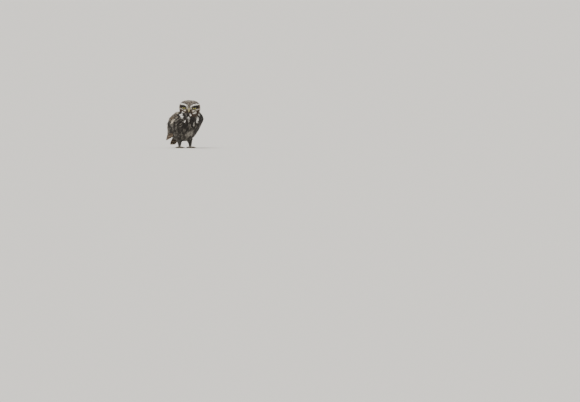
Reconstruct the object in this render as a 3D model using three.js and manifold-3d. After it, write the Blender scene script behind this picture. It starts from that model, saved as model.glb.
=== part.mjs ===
// A little owl at life size, standing alert with its head turned to its right.
// Millimetres, +Z up. The breast faces -Y, the owl's left is +X, and the toes rest on the floor at z = 0.
// Places on the body are written as [side, forward, up], where forward runs along -Y.
import * as THREE from "three";
import { mergeVertices } from "three/addons/utils/BufferGeometryUtils.js";
import Module from "manifold-3d";

const wasm = await Module();
wasm.setup();

const GAP = 0.3; // clearance between neighbouring pieces
const SLIVER = 0.05; // faces narrower than this are merged into their neighbours
const MERGE = 1e-4; // vertices closer than this are one
const DEGREE = Math.PI / 180;
const FULL_TURN = 2 * Math.PI;
const { lerp, clamp } = THREE.MathUtils;

// Torso: horizontal sections through the plumage, from between the legs up to the neck.
const TORSO_SQUARENESS = 2.3; // exponent of the superellipse that each section follows
const TORSO_SECTIONS = [
  { up: 24.5, halfWidth: 9, front: 2, back: -26 },
  { up: 29, halfWidth: 22, front: 16, back: -42 },
  { up: 36, halfWidth: 30, front: 27, back: -51 },
  { up: 46, halfWidth: 38, front: 37, back: -57 },
  { up: 59, halfWidth: 45, front: 46, back: -60 },
  { up: 74, halfWidth: 50, front: 57, back: -60 },
  { up: 89, halfWidth: 52.5, front: 66, back: -56 },
  { up: 107, halfWidth: 53, front: 70, back: -45 },
  { up: 121, halfWidth: 48.5, front: 66, back: -31 },
  { up: 132, halfWidth: 40, front: 57, back: -17 },
  { up: 139, halfWidth: 26, front: 46, back: 0 },
];
const TORSO_SIDES = 28;
const TORSO_ROWS = 14;

// Head: a broad, flat-topped superellipsoid with the facial discs, brows and lids in relief.
const HEAD_CENTRE = [-4.5, 33.5, 150];
const HEAD_YAW = -44 * DEGREE; // turned towards the owl's right
const HEAD_PITCH = 7 * DEGREE; // looking a little down
const HEAD_ROLL = 2.5 * DEGREE; // its left side a little low
const HEAD_HALF_WIDTH = 39;
const HEAD_HALF_LENGTH = 32;
const HEAD_ABOVE = 27;
const HEAD_BELOW = 27;
const HEAD_PROFILE_POWER = 0.74; // below 1 flattens the top and the bottom
const HEAD_PLAN_POWER = 0.88; // below 1 squares the face and the back
const HEAD_SIDES = 44;
const HEAD_ROWS = 24;
const HEAD_FACE_SHARE = 0.42; // how strongly the sides crowd towards the face and the back
const FACE_REACH = 14; // the face's relief fades out this far ahead of the ears' plane

// Eyes and lids, in the head's own frame.
const EYE_SPREAD = 18; // from the head's middle plane to each eye's centre
const EYE_UP = 4;
const EYE_FORWARD = 20.2;
const EYE_RADIUS = 8.6;
const EYE_TURN = 14 * DEGREE; // each eye looks this far outwards
const LID_RADIUS = 6.8;
const LID_HEIGHT = 0.84; // the lids' opening is this much lower than it is wide
const LID_THICKNESS = 1.7;

// Relief of the face: heights, radii and widths round each eye.
const DISH = { depth: 3.8, radius: 12.5 };
const RIM = { height: 2.2, radius: 17.5, width: 3.2, lowBelow: 9, lowShare: 0.4 };
const BROW = { height: 5.2, width: 3.9, inner: 7, slope: 0.42, start: 1, end: 34, fade: 6 };
const BRIDGE = { height: 2.4, halfWidth: 4.5, halfHeight: 9 };
const CHIN = { height: 1.5, halfWidth: 12, halfHeight: 5, up: -21 };

// Neck: the ruff of feathers between the head and the shoulders.
const NECK_CENTRE = [-1, 23.5, 127];
const NECK_RADII = [45.5, 42.5, 14];

// Wings: three lines from the shoulder to the tip, for the left wing.
const WING_DORSAL = [[21, -17, 130], [27, -45, 105], [16, -61.5, 80], [12, -65, 55], [20, -77, 30]];
const WING_RIDGE = [[42, 0, 131], [57, -16, 107], [54, -35, 84], [39, -53, 56], [28, -76.5, 27]];
const WING_LEADING = [[48, 40, 123], [56, 38, 106], [53, 19, 80], [43.5, -12, 55], [32, -70, 26]];
const WING_CORE_END = 0.84; // share of the wing's length that its solid core reaches
const WING_CORE_ROWS = 7;
const WING_CORE_COLUMNS = 5;
const WING_CORE_DEPTH = 0.2; // the core's outer face lies this far under the wing's surface
const WING_THICKNESS = 9; // at the shoulder
const WING_END_THICKNESS = 1.6; // among the flight feathers
const WING_THIN_FROM = 0.6; // share of the length at which the core is down to that
const WING_EDGE_ROUNDING = 0.4;

// Feather tiers of one wing, in shares of the wing's length (U) and of its breadth from the back to
// the leading edge (V). Each pair runs from the tier's first feather to its last, a lift from root to tip.
const WING_TIERS = {
  primaries: {
    count: 6, width: [10, 9.5], lift: [-0.6, 0.1],
    rootU: [0.5, 0.34], rootV: [0.5, 0.93], tipU: [1.0, 0.8], tipV: [0.2, 0.98],
  },
  secondaries: {
    count: 5, width: [14, 12], lift: [-0.4, 1.1],
    rootU: [0.38, 0.42], rootV: [0.12, 0.72], tipU: [0.72, 0.8], tipV: [0.14, 0.86],
  },
  tertials: {
    count: 3, width: [12, 11], lift: [-0.2, 2.0],
    rootU: [0.2, 0.26], rootV: [0.0, 0.08], tipU: [0.57, 0.68], tipV: [0.04, 0.14],
  },
  greaterCoverts: {
    count: 6, width: [12, 10.5], lift: [-0.4, 1.9],
    rootU: [0.2, 0.22], rootV: [0.16, 0.9], tipU: [0.45, 0.5], tipV: [0.18, 0.94],
  },
  medianCoverts: {
    count: 5, width: [12, 11], lift: [-0.4, 2.1],
    rootU: [0.08, 0.12], rootV: [0.26, 0.88], tipU: [0.29, 0.33], tipV: [0.25, 0.92],
  },
  scapulars: {
    count: 3, width: [14, 12], lift: [-0.2, 2.8],
    rootU: [0.02, 0.2], rootV: [0.1, 0.0], tipU: [0.24, 0.5], tipV: [0.12, 0.02],
  },
};
const TIER_STAGGER = 0.5; // every second feather's tip lies this much lower
const VANE_THICKNESS = 0.7;
const VANE_STATIONS = [0, 0.5, 0.86, 1];
const VANE_PROFILE = [0.6, 1, 0.86, 0.2]; // width at each station, as a share of the feather's width
// One scapular of the right wing stands out from the outline.
const STRAY_FEATHER = { root: [0.28, 0.22], tip: [0.5, 0.3], width: 7, lift: [-0.4, 4.5] };

// Tail: a closed fan of feathers under the wing tips, on a short core.
const TAIL_ROOT = [0, -46, 60];
const TAIL_TIP = [0, -77, 11.5];
const TAIL_FEATHERS = 12;
const TAIL_ROOT_HALF_WIDTH = 6;
const TAIL_TIP_HALF_WIDTH = 11.5;
const TAIL_FEATHER_WIDTH = 11;
const TAIL_ROUNDING = 0.06; // the outer feathers are shorter by this share
const TAIL_STEP = 0.55; // how far each feather lies under its inner neighbour
const TAIL_STAGGER = 0.3;
const TAIL_CORE = { share: 0.62, halfWidths: [13, 12], halfDepths: [8, 1.6], under: [4.7, 3.2] };
const TAIL_CORE_ROWS = 6;
const TAIL_CORE_SIDES = 16;

// Legs: sections from the thigh inside the belly's feathers down to the ankle.
const FEET = { left: [20, 6.5], right: [-20, -6.5] }; // each ankle's [side, forward]
const LEG_SECTIONS = [
  { up: 44, radius: 11, back: 6 },
  { up: 36, radius: 11, back: 5 },
  { up: 27, radius: 9.2, back: 3 },
  { up: 19, radius: 6.6, back: 1.2 },
  { up: 12, radius: 5.2, back: 0 },
  { up: 6.6, radius: 4.9, back: 0 },
];
const LEG_SIDES = 14;
const LEG_DEPTH_RATIO = 1.1; // front to back, against side to side
const LEG_INWARDS = 1 / 90; // how far the thigh comes in for each millimetre that it lies back

// Feet: a palm with four padded toes, each with its claw.
const PALM_RADII = [5.6, 6.4, 4.4];
const PALM_UP = 3.1;
// Each toe's direction is measured from straight ahead, outwards being positive.
const TOES = [
  { name: "inner", turn: -16, length: 17 },
  { name: "middle", turn: 12, length: 21 },
  { name: "outer", turn: 82, length: 18 },
  { name: "hind", turn: 202, length: 12 },
];
const TOE_RADIUS = 2.9;
const TOE_END_RADIUS = 2.1;
const TOE_PADS = 3;
const TOE_PAD_HEIGHT = 0.28;
const TOE_ARCH = 0.45; // the toe's middle is raised by this
const TOE_SUNK = 0.86; // the toe's centre stands this share of its radius above the floor
const TOE_SIDES = 7;
const TOE_ROWS = 6;
const CLAW_LENGTH = 8.5;
const CLAW_RADIUS = 1.55;
const CLAW_TIP_RADIUS = 0.16;
const CLAW_NARROWNESS = 0.82; // side to side, against top to bottom
const CLAW_TAPER = 0.75;
const CLAW_RISE = 26 * DEGREE; // the claw leaves the toe this steeply
const CLAW_BEND = 78 * DEGREE;
const CLAW_SIDES = 6;
const CLAW_ROWS = 5;

// Bill, in the head's own frame. The mouth's line runs between its upper and lower halves.
const UPPER_BILL_LINE = [[0, 22, 1.5], [0, 29.5, 2], [0, 34.6, -2.3], [0, 36, -7.6], [0, 34.4, -12.9]];
const UPPER_BILL_HALF_WIDTHS = [4.4, 4.3, 3.6, 2.3, 0.35];
const UPPER_BILL_HALF_DEPTHS = [3.6, 3.8, 3.5, 2.4, 0.4];
const LOWER_BILL_LINE = [[0, 22, -5.5], [0, 29.5, -7.4], [0, 33.4, -10.6]];
const LOWER_BILL_HALF_WIDTHS = [3.8, 3.4, 1.3];
const LOWER_BILL_HALF_DEPTHS = [2.2, 2.1, 0.9];
const BILL_ROWS = 8;
const BILL_SIDES = 10;
const NOSTRIL = { radius: 1.1, side: 3.7, forward: 33.4, up: -0.3 };

// A vector from a [side, forward, up] place.
function place([side, forward, up]) {
  return new THREE.Vector3(side, -forward, up);
}

// A solid from a three.js geometry that is one closed surface.
function solidOf(geometry) {
  const bare = geometry.index ? geometry.toNonIndexed() : geometry.clone();
  bare.deleteAttribute("normal");
  bare.deleteAttribute("uv");
  const merged = mergeVertices(bare, MERGE);
  const mesh = new wasm.Mesh({
    numProp: 3,
    vertProperties: merged.attributes.position.array,
    triVerts: new Uint32Array(merged.index.array),
  });
  return new wasm.Manifold(mesh);
}

// A solid from corner points and triangles, turned so that its faces point out.
function solidFrom(corners, triangles) {
  const sixVolumes = triangles.reduce((sum, [a, b, c]) => {
    const cross = new THREE.Vector3().crossVectors(corners[b], corners[c]);
    return sum + corners[a].dot(cross);
  }, 0);
  const turned = sixVolumes > 0 ? triangles : triangles.map(([a, b, c]) => [a, c, b]);
  const geometry = new THREE.BufferGeometry().setFromPoints(corners);
  geometry.setIndex(turned.flat());
  return solidOf(geometry);
}

// A solid through rings of points, each closed on itself, with a fan over both ends.
function loft(rings) {
  const sides = rings[0].length;
  const corners = rings.flat();
  const triangles = [];
  for (let row = 0; row + 1 < rings.length; row++) {
    for (let side = 0; side < sides; side++) {
      const a = row * sides + side;
      const b = row * sides + ((side + 1) % sides);
      triangles.push([a, b, b + sides], [a, b + sides, a + sides]);
    }
  }
  [0, rings.length - 1].forEach((row) => {
    const middle = new THREE.Vector3();
    rings[row].forEach((corner) => middle.addScaledVector(corner, 1 / sides));
    corners.push(middle);
    for (let side = 0; side < sides; side++) {
      const a = row * sides + side;
      const b = row * sides + ((side + 1) % sides);
      triangles.push(row ? [a, b, corners.length - 1] : [b, a, corners.length - 1]);
    }
  });
  return solidFrom(corners, triangles);
}

// A ring of points, each worked out from its angle round the ring.
function ringOf(sides, pointAt) {
  return Array.from({ length: sides }, (_, side) => pointAt((side / sides) * FULL_TURN));
}

// A power that keeps the sign, for superellipses.
function signedPower(value, power) {
  return Math.sign(value) * Math.abs(value) ** power;
}

// A bell curve that is 1 at no distance.
function bell(distance, width) {
  return Math.exp(-((distance / width) ** 2));
}

// A value between evenly spaced ones.
function sampled(values, share) {
  const spot = clamp(share, 0, 1) * (values.length - 1);
  const index = Math.min(Math.floor(spot), values.length - 2);
  return lerp(values[index], values[index + 1], spot - index);
}

// The largest closed piece of a solid.
function largest(solid) {
  return solid.decompose().sort((a, b) => b.volume() - a.volume())[0];
}

function union(solids) {
  return solids.reduce((sum, solid) => sum.add(solid));
}

// A solid less its neighbours' shapes, its largest piece kept and its slivers smoothed away.
function cutBy(solid, tools) {
  const rest = tools.reduce((left, tool) => left.subtract(tool), solid);
  return largest(largest(rest).simplify(SLIVER));
}

// The torso's section at one height, smoothed between the stated ones.
const torsoHeights = TORSO_SECTIONS.map((section) => section.up);
const torsoValues = TORSO_SECTIONS.flatMap(({ halfWidth, front, back }) => [halfWidth, front, back]);
const torsoShape = new THREE.CubicInterpolant(torsoHeights, torsoValues, 3);

function torsoSolid(grow) {
  const [lowest, highest] = [torsoHeights[0], torsoHeights.at(-1)];
  const rings = [];
  for (let row = 0; row <= TORSO_ROWS; row++) {
    const even = row / TORSO_ROWS;
    const crowded = (1 - Math.cos(even * Math.PI)) / 2;
    const up = lerp(lowest, highest, (even + crowded) / 2);
    const [halfWidth, front, back] = torsoShape.evaluate(up);
    const end = row === 0 ? -grow : row === TORSO_ROWS ? grow : 0;
    rings.push(ringOf(TORSO_SIDES, (angle) => {
      const across = signedPower(Math.sin(angle), 2 / TORSO_SQUARENESS);
      const ahead = signedPower(Math.cos(angle), 2 / TORSO_SQUARENESS);
      const forward = (front + back) / 2 + ahead * ((front - back) / 2 + grow);
      return place([across * (halfWidth + grow), forward, up + end]);
    }));
  }
  return loft(rings);
}

// The face's relief at a point across and up from the head's centre, in millimetres forward.
function faceRelief(across, up) {
  const side = Math.abs(across);
  const fromEye = Math.hypot(side - EYE_SPREAD, up - EYE_UP);
  const dish = -DISH.depth * bell(fromEye, DISH.radius);
  const rimShare = up < RIM.lowBelow ? 1 : RIM.lowShare;
  const rim = RIM.height * rimShare * bell(fromEye - RIM.radius, RIM.width);
  const browShare = clamp((side - BROW.start) / 4, 0, 1) * clamp((BROW.end - side) / BROW.fade, 0, 1);
  const brow = BROW.height * browShare * bell(up - BROW.inner - BROW.slope * side, BROW.width);
  const bridge = BRIDGE.height * bell(side, BRIDGE.halfWidth) * bell(up, BRIDGE.halfHeight);
  const chin = CHIN.height * bell(side, CHIN.halfWidth) * bell(up - CHIN.up, CHIN.halfHeight);
  return dish + rim + brow + bridge + chin;
}

// The matrix that sets the head's own frame on the body.
const headMatrix = new THREE.Matrix4()
  .makeTranslation(place(HEAD_CENTRE))
  .multiply(new THREE.Matrix4().makeRotationZ(HEAD_YAW))
  .multiply(new THREE.Matrix4().makeRotationX(HEAD_PITCH))
  .multiply(new THREE.Matrix4().makeRotationY(HEAD_ROLL));

function onHead(solid) {
  return solid.transform(headMatrix.elements);
}

function headShape(grow) {
  const rings = [];
  for (let row = 1; row < HEAD_ROWS; row++) {
    const tilt = (row / HEAD_ROWS - 0.5) * Math.PI;
    const girth = signedPower(Math.cos(tilt), HEAD_PROFILE_POWER);
    const reach = (tilt > 0 ? HEAD_ABOVE : HEAD_BELOW) + grow;
    const up = signedPower(Math.sin(tilt), HEAD_PROFILE_POWER) * reach;
    rings.push(ringOf(HEAD_SIDES, (angle) => {
      const turn = angle - HEAD_FACE_SHARE * Math.sin(angle);
      const across = girth * (HEAD_HALF_WIDTH + grow) * signedPower(Math.sin(turn), HEAD_PLAN_POWER);
      const ahead = girth * (HEAD_HALF_LENGTH + grow) * signedPower(Math.cos(turn), HEAD_PLAN_POWER);
      const facing = THREE.MathUtils.smoothstep(ahead, 0, FACE_REACH);
      return place([across, ahead + facing * faceRelief(across, up), up]);
    }));
  }
  return onHead(loft(rings));
}

function eyeCentre(side) {
  return place([side * EYE_SPREAD, EYE_FORWARD, EYE_UP]).toArray();
}

// A ball for an eye, or for the socket round it.
function eyeSolid(side, radius) {
  return onHead(solidOf(new THREE.SphereGeometry(radius, 16, 10)).translate(eyeCentre(side)));
}

// The rim of both lids, a flattened ring that hugs the eye.
function lidSolid(side) {
  const ring = new THREE.TorusGeometry(LID_RADIUS, LID_THICKNESS, 6, 20);
  ring.scale(1, LID_HEIGHT, 1);
  ring.rotateX(Math.PI / 2);
  ring.translate(0, -Math.sqrt(EYE_RADIUS ** 2 - LID_RADIUS ** 2), 0);
  ring.rotateZ(side * EYE_TURN);
  ring.translate(...eyeCentre(side));
  return onHead(solidOf(ring));
}

function neckSolid(grow) {
  const ball = solidOf(new THREE.SphereGeometry(1, 24, 10).rotateX(Math.PI / 2));
  const radii = NECK_RADII.map((radius) => radius + grow);
  return ball.scale(radii).translate(place(NECK_CENTRE).toArray());
}

// The wing's curved outer face: a place and an outward direction for each share of its two sides.
function wingSurface(side) {
  const lines = [WING_DORSAL, WING_RIDGE, WING_LEADING].map((line) => {
    const places = line.map(([across, forward, up]) => place([side * across, forward, up]));
    return new THREE.CatmullRomCurve3(places);
  });
  const at = (u, v) => {
    const [dorsal, ridge, leading] = lines.map((line) => line.getPoint(clamp(u, 0, 1)));
    const bend = ridge.multiplyScalar(2).addScaledVector(dorsal, -0.5).addScaledVector(leading, -0.5);
    dorsal.multiplyScalar((1 - v) ** 2).addScaledVector(bend, 2 * v * (1 - v));
    return dorsal.addScaledVector(leading, v * v);
  };
  const outward = (u, v) => {
    const step = 0.01;
    const [low, high] = [clamp(u - step, 0, 1), clamp(u + step, 0, 1)];
    const along = at(high, v).sub(at(low, v));
    const across = at(u, v + step).sub(at(u, v - step));
    return along.cross(across).normalize().multiplyScalar(-side);
  };
  return { at, outward };
}

// One flat, tapered feather laid on a surface. Both faces are split into triangles alike.
function vane({ at, outward }, { root, tip, width, lift }) {
  const spot = (share) => [lerp(root[0], tip[0], share), lerp(root[1], tip[1], share)];
  const centreAt = (share) => {
    const [u, v] = spot(share);
    return at(u, v).addScaledVector(outward(u, v), lerp(lift[0], lift[1], share));
  };
  const corners = [];
  VANE_STATIONS.forEach((share, index) => {
    const normal = outward(...spot(share));
    const along = centreAt(Math.min(share + 0.05, 1)).sub(centreAt(Math.max(share - 0.05, 0)));
    const across = along.cross(normal).normalize();
    const half = (width * VANE_PROFILE[index]) / 2;
    [[-half, 0], [half, 0], [half, -VANE_THICKNESS], [-half, -VANE_THICKNESS]].forEach(([x, y]) => {
      corners.push(centreAt(share).addScaledVector(across, x).addScaledVector(normal, y));
    });
  });
  const triangles = [];
  for (let row = 0; row + 1 < VANE_STATIONS.length; row++) {
    const [a, b, c, d] = [0, 1, 2, 3].map((corner) => row * 4 + corner);
    const [e, f, g, h] = [a + 4, b + 4, c + 4, d + 4];
    triangles.push([a, b, f], [a, f, e], [c, d, g], [d, h, g]);
    triangles.push([b, c, g], [b, g, f], [d, a, e], [d, e, h]);
  }
  const last = (VANE_STATIONS.length - 1) * 4;
  triangles.push([1, 0, 3], [1, 3, 2], [last, last + 1, last + 3], [last + 1, last + 2, last + 3]);
  return solidFrom(corners, triangles);
}

// The feathers of one tier, each placed between the tier's first and last.
function tierFeathers(tier) {
  return Array.from({ length: tier.count }, (_, index) => {
    const share = index / (tier.count - 1);
    const between = ([first, last]) => lerp(first, last, share);
    return {
      root: [between(tier.rootU), between(tier.rootV)],
      tip: [between(tier.tipU), between(tier.tipV)],
      width: between(tier.width),
      lift: [tier.lift[0], tier.lift[1] - TIER_STAGGER * (index % 2)],
    };
  });
}

// The wing's core, from its outer face inwards, thick at the shoulder and thin among the quills.
function wingCore(surface) {
  const rings = [];
  for (let row = 0; row <= WING_CORE_ROWS; row++) {
    const u = (row / WING_CORE_ROWS) * WING_CORE_END;
    const deep = lerp(WING_THICKNESS, WING_END_THICKNESS, clamp(u / WING_THIN_FROM, 0, 1));
    const outer = [];
    const inner = [];
    for (let column = 0; column <= WING_CORE_COLUMNS; column++) {
      const v = column / WING_CORE_COLUMNS;
      const edge = Math.sin(clamp(v, 0.04, 0.96) * Math.PI) ** WING_EDGE_ROUNDING;
      const normal = surface.outward(u, v);
      const face = surface.at(u, v);
      outer.push(face.clone().addScaledVector(normal, -WING_CORE_DEPTH));
      inner.push(face.addScaledVector(normal, -WING_CORE_DEPTH - deep * edge));
    }
    rings.push([...outer, ...inner.reverse()]);
  }
  return loft(rings);
}

function wingSolid(side) {
  const surface = wingSurface(side);
  const feathers = Object.values(WING_TIERS).flatMap(tierFeathers);
  if (side < 0) feathers.push(STRAY_FEATHER);
  return union([wingCore(surface), ...feathers.map((feather) => vane(surface, feather))]);
}

// The tail's flat surface: u runs along it, and v is millimetres to the side.
function tailSurface() {
  const [root, tip] = [place(TAIL_ROOT), place(TAIL_TIP)];
  const along = tip.clone().sub(root);
  const outward = new THREE.Vector3(-1, 0, 0).cross(along).normalize();
  return {
    at: (u, v) => root.clone().addScaledVector(along, u).add(new THREE.Vector3(v, 0, 0)),
    outward: () => outward.clone(),
  };
}

function tailCore({ at, outward }) {
  const rings = [];
  for (let row = 0; row <= TAIL_CORE_ROWS; row++) {
    const share = row / TAIL_CORE_ROWS;
    const under = sampled(TAIL_CORE.under, share);
    const centre = at(share * TAIL_CORE.share, 0).addScaledVector(outward(), -under);
    const wide = sampled(TAIL_CORE.halfWidths, share);
    const deep = sampled(TAIL_CORE.halfDepths, share);
    rings.push(ringOf(TAIL_CORE_SIDES, (angle) => {
      const corner = centre.clone().add(new THREE.Vector3(wide * Math.cos(angle), 0, 0));
      return corner.addScaledVector(outward(), deep * Math.sin(angle));
    }));
  }
  return loft(rings);
}

function tailSolid() {
  const surface = tailSurface();
  const feathers = Array.from({ length: TAIL_FEATHERS }, (_, index) => {
    const share = (2 * index) / (TAIL_FEATHERS - 1) - 1;
    const step = TAIL_STAGGER * (index % 2) - TAIL_STEP * Math.abs(share) * (TAIL_FEATHERS / 2);
    return vane(surface, {
      root: [0.05, share * TAIL_ROOT_HALF_WIDTH],
      tip: [1 - TAIL_ROUNDING * share * share, share * TAIL_TIP_HALF_WIDTH],
      width: TAIL_FEATHER_WIDTH,
      lift: [step, step],
    });
  });
  return union([tailCore(surface), ...feathers]);
}

function legSolid([across, forward]) {
  const rings = LEG_SECTIONS.map(({ up, radius, back }) =>
    ringOf(LEG_SIDES, (angle) => {
      const side = across * (1 - back * LEG_INWARDS) + radius * Math.cos(angle);
      return place([side, forward - back + LEG_DEPTH_RATIO * radius * Math.sin(angle), up]);
    }),
  );
  return loft(rings);
}

// A toe's direction on the floor, for a toe of the left or the right foot.
function toeDirection(side, turn) {
  const angle = turn * DEGREE;
  return new THREE.Vector3(side * Math.sin(angle), -Math.cos(angle), 0);
}

// The level direction across a toe.
function toeAcross(direction) {
  return new THREE.Vector3(0, 0, 1).cross(direction);
}

function toeSolid(ankle, direction, length) {
  const across = toeAcross(direction);
  const rings = [];
  for (let row = 0; row <= TOE_ROWS; row++) {
    const share = row / TOE_ROWS;
    const pad = TOE_PAD_HEIGHT * Math.sin(share * TOE_PADS * Math.PI) ** 2;
    const radius = lerp(TOE_RADIUS, TOE_END_RADIUS, share) + pad;
    const centre = ankle.clone().addScaledVector(direction, share * length);
    centre.z = radius * TOE_SUNK + TOE_ARCH * Math.sin(share * Math.PI);
    rings.push(ringOf(TOE_SIDES, (angle) => {
      const corner = centre.clone().addScaledVector(across, radius * Math.cos(angle));
      corner.z += radius * Math.sin(angle);
      return corner;
    }));
  }
  return loft(rings);
}

// A block below the floor or above a level, to cut a piece flat.
function slab(centre, width, height) {
  return solidOf(new THREE.BoxGeometry(width, width, height)).translate(centre);
}

function footSolid(side, ankle) {
  const palm = solidOf(new THREE.SphereGeometry(1, 12, 8).rotateX(Math.PI / 2));
  const pieces = [palm.scale(PALM_RADII).translate([ankle.x, ankle.y, PALM_UP])];
  TOES.forEach(({ turn, length }) => {
    pieces.push(toeSolid(ankle, toeDirection(side, turn), length));
  });
  return union(pieces).subtract(slab([0, 0, -10], 200, 20));
}

function clawSolid(side, ankle, { turn, length }) {
  const direction = toeDirection(side, turn);
  const across = toeAcross(direction);
  const base = ankle.clone().addScaledVector(direction, length + GAP);
  base.z = TOE_END_RADIUS;
  const arc = CLAW_LENGTH / CLAW_BEND;
  const rings = [];
  for (let row = 0; row <= CLAW_ROWS; row++) {
    const share = row / CLAW_ROWS;
    const angle = share * CLAW_BEND - CLAW_RISE;
    const centre = base.clone().addScaledVector(direction, arc * (Math.sin(angle) + Math.sin(CLAW_RISE)));
    centre.z += arc * (Math.cos(angle) - Math.cos(CLAW_RISE));
    const upwards = new THREE.Vector3(0, 0, 1);
    if (row) upwards.multiplyScalar(Math.cos(angle)).addScaledVector(direction, Math.sin(angle));
    const radius = CLAW_RADIUS * (1 - share) ** CLAW_TAPER + CLAW_TIP_RADIUS;
    rings.push(ringOf(CLAW_SIDES, (turned) => {
      const point = centre.clone().addScaledVector(across, CLAW_NARROWNESS * radius * Math.cos(turned));
      return point.addScaledVector(upwards, radius * Math.sin(turned));
    }));
  }
  return loft(rings);
}

// A tube of varying half width and half depth along a line in the head's middle plane.
function billTube(line, halfWidths, halfDepths, grow) {
  const curve = new THREE.CatmullRomCurve3(line.map(place));
  const rings = [];
  for (let row = 0; row <= BILL_ROWS; row++) {
    const share = row / BILL_ROWS;
    const width = sampled(halfWidths, share) + grow;
    const depth = sampled(halfDepths, share) + grow;
    const along = curve.getTangent(share);
    const end = row === 0 ? -grow : row === BILL_ROWS ? grow : 0;
    const centre = curve.getPoint(share).addScaledVector(along, end);
    const across = new THREE.Vector3(1, 0, 0);
    const upwards = new THREE.Vector3().crossVectors(across, along);
    rings.push(ringOf(BILL_SIDES, (angle) => {
      const corner = centre.clone().addScaledVector(across, width * Math.cos(angle));
      return corner.addScaledVector(upwards, depth * Math.sin(angle));
    }));
  }
  return onHead(loft(rings));
}

function upperBill(grow) {
  return billTube(UPPER_BILL_LINE, UPPER_BILL_HALF_WIDTHS, UPPER_BILL_HALF_DEPTHS, grow);
}

function lowerBill(grow) {
  return billTube(LOWER_BILL_LINE, LOWER_BILL_HALF_WIDTHS, LOWER_BILL_HALF_DEPTHS, grow);
}

function nostril(side) {
  const ball = solidOf(new THREE.SphereGeometry(NOSTRIL.radius, 10, 6));
  return onHead(ball.translate(place([side * NOSTRIL.side, NOSTRIL.forward, NOSTRIL.up]).toArray()));
}

// Finishes of the real bird's parts.
const FINISHES = {
  plumage: { color: 0x5b4d3e, roughness: 0.9 },
  flight: { color: 0x4a3c30, roughness: 0.8 },
  legFeathers: { color: 0xb9ab92, roughness: 0.95 },
  toeSkin: { color: 0x6e6a5c, roughness: 0.7 },
  horn: { color: 0x2a2622, roughness: 0.4 },
  bill: { color: 0xb5a878, roughness: 0.45 },
  eye: { color: 0xd9b21c, roughness: 0.08 },
};

const owl = new THREE.Group();

// Adds a finished solid to the owl as one named mesh.
function addPiece(name, solid, finish) {
  const { vertProperties, triVerts } = solid.getMesh();
  const geometry = new THREE.BufferGeometry();
  geometry.setAttribute("position", new THREE.BufferAttribute(vertProperties, 3));
  geometry.setIndex(new THREE.BufferAttribute(triVerts, 1));
  geometry.computeVertexNormals();
  const mesh = new THREE.Mesh(geometry, new THREE.MeshStandardMaterial(FINISHES[finish]));
  mesh.name = name;
  owl.add(mesh);
}

const SIDES = [["left", 1], ["right", -1]];

// Head, with its sockets, and the pieces that show in it.
const billTools = [upperBill(GAP), lowerBill(GAP)];
const sockets = SIDES.map(([, side]) => eyeSolid(side, EYE_RADIUS + GAP));
const lids = SIDES.map(([, side]) => lidSolid(side));
addPiece("head", cutBy(union([headShape(0), ...lids]), [...sockets, ...billTools]), "plumage");
SIDES.forEach(([word, side]) => addPiece(`eye_${word}`, eyeSolid(side, EYE_RADIUS), "eye"));
addPiece("bill_upper", cutBy(upperBill(0), [nostril(1), nostril(-1)]), "bill");
addPiece("bill_lower", cutBy(lowerBill(0), [upperBill(GAP)]), "bill");

// Neck and torso, each cut back from what stands on it.
const headTool = headShape(GAP);
addPiece("neck", cutBy(neckSolid(0), [headTool, ...billTools]), "plumage");
addPiece("torso", cutBy(torsoSolid(0), [neckSolid(GAP), headTool, ...billTools]), "plumage");

// Wings and tail, cut clear of the body that they lie on.
const bodyTools = [torsoSolid(GAP), neckSolid(GAP), headTool];
SIDES.forEach(([word, side]) => {
  addPiece(`wing_${word}`, cutBy(wingSolid(side), bodyTools), "flight");
});
addPiece("tail", cutBy(tailSolid(), bodyTools), "flight");

// Legs, feet and claws. Each foot is cut level under its leg.
SIDES.forEach(([word, side]) => {
  const [across, forward] = FEET[word];
  const ankle = place([across, forward, 0]);
  const legFoot = slab([ankle.x, ankle.y, LEG_SECTIONS.at(-1).up - GAP + 10], 60, 20);
  addPiece(`leg_${word}`, cutBy(legSolid(FEET[word]), bodyTools), "legFeathers");
  addPiece(`foot_${word}`, cutBy(footSolid(side, ankle), [legFoot]), "toeSkin");
  TOES.forEach((toe) => {
    addPiece(`claw_${word}_${toe.name}`, clawSolid(side, ankle, toe), "horn");
  });
});

// The frame's origin is on the floor under the middle of the owl's outline.
const outline = new THREE.Box3().setFromObject(owl);
const middle = outline.getCenter(new THREE.Vector3());
owl.position.set(-middle.x, -middle.y, 0);

export default owl;
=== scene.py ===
# A little owl at life size, standing alert with its head turned to its right, dressed feather by feather.
# Metres, +Z up. The breast faces -Y and the owl's left side is +X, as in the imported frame.
import math

import bmesh
import bpy
import numpy as np
from mathutils import Matrix, Vector, noise
from mathutils.bvhtree import BVHTree


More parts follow.
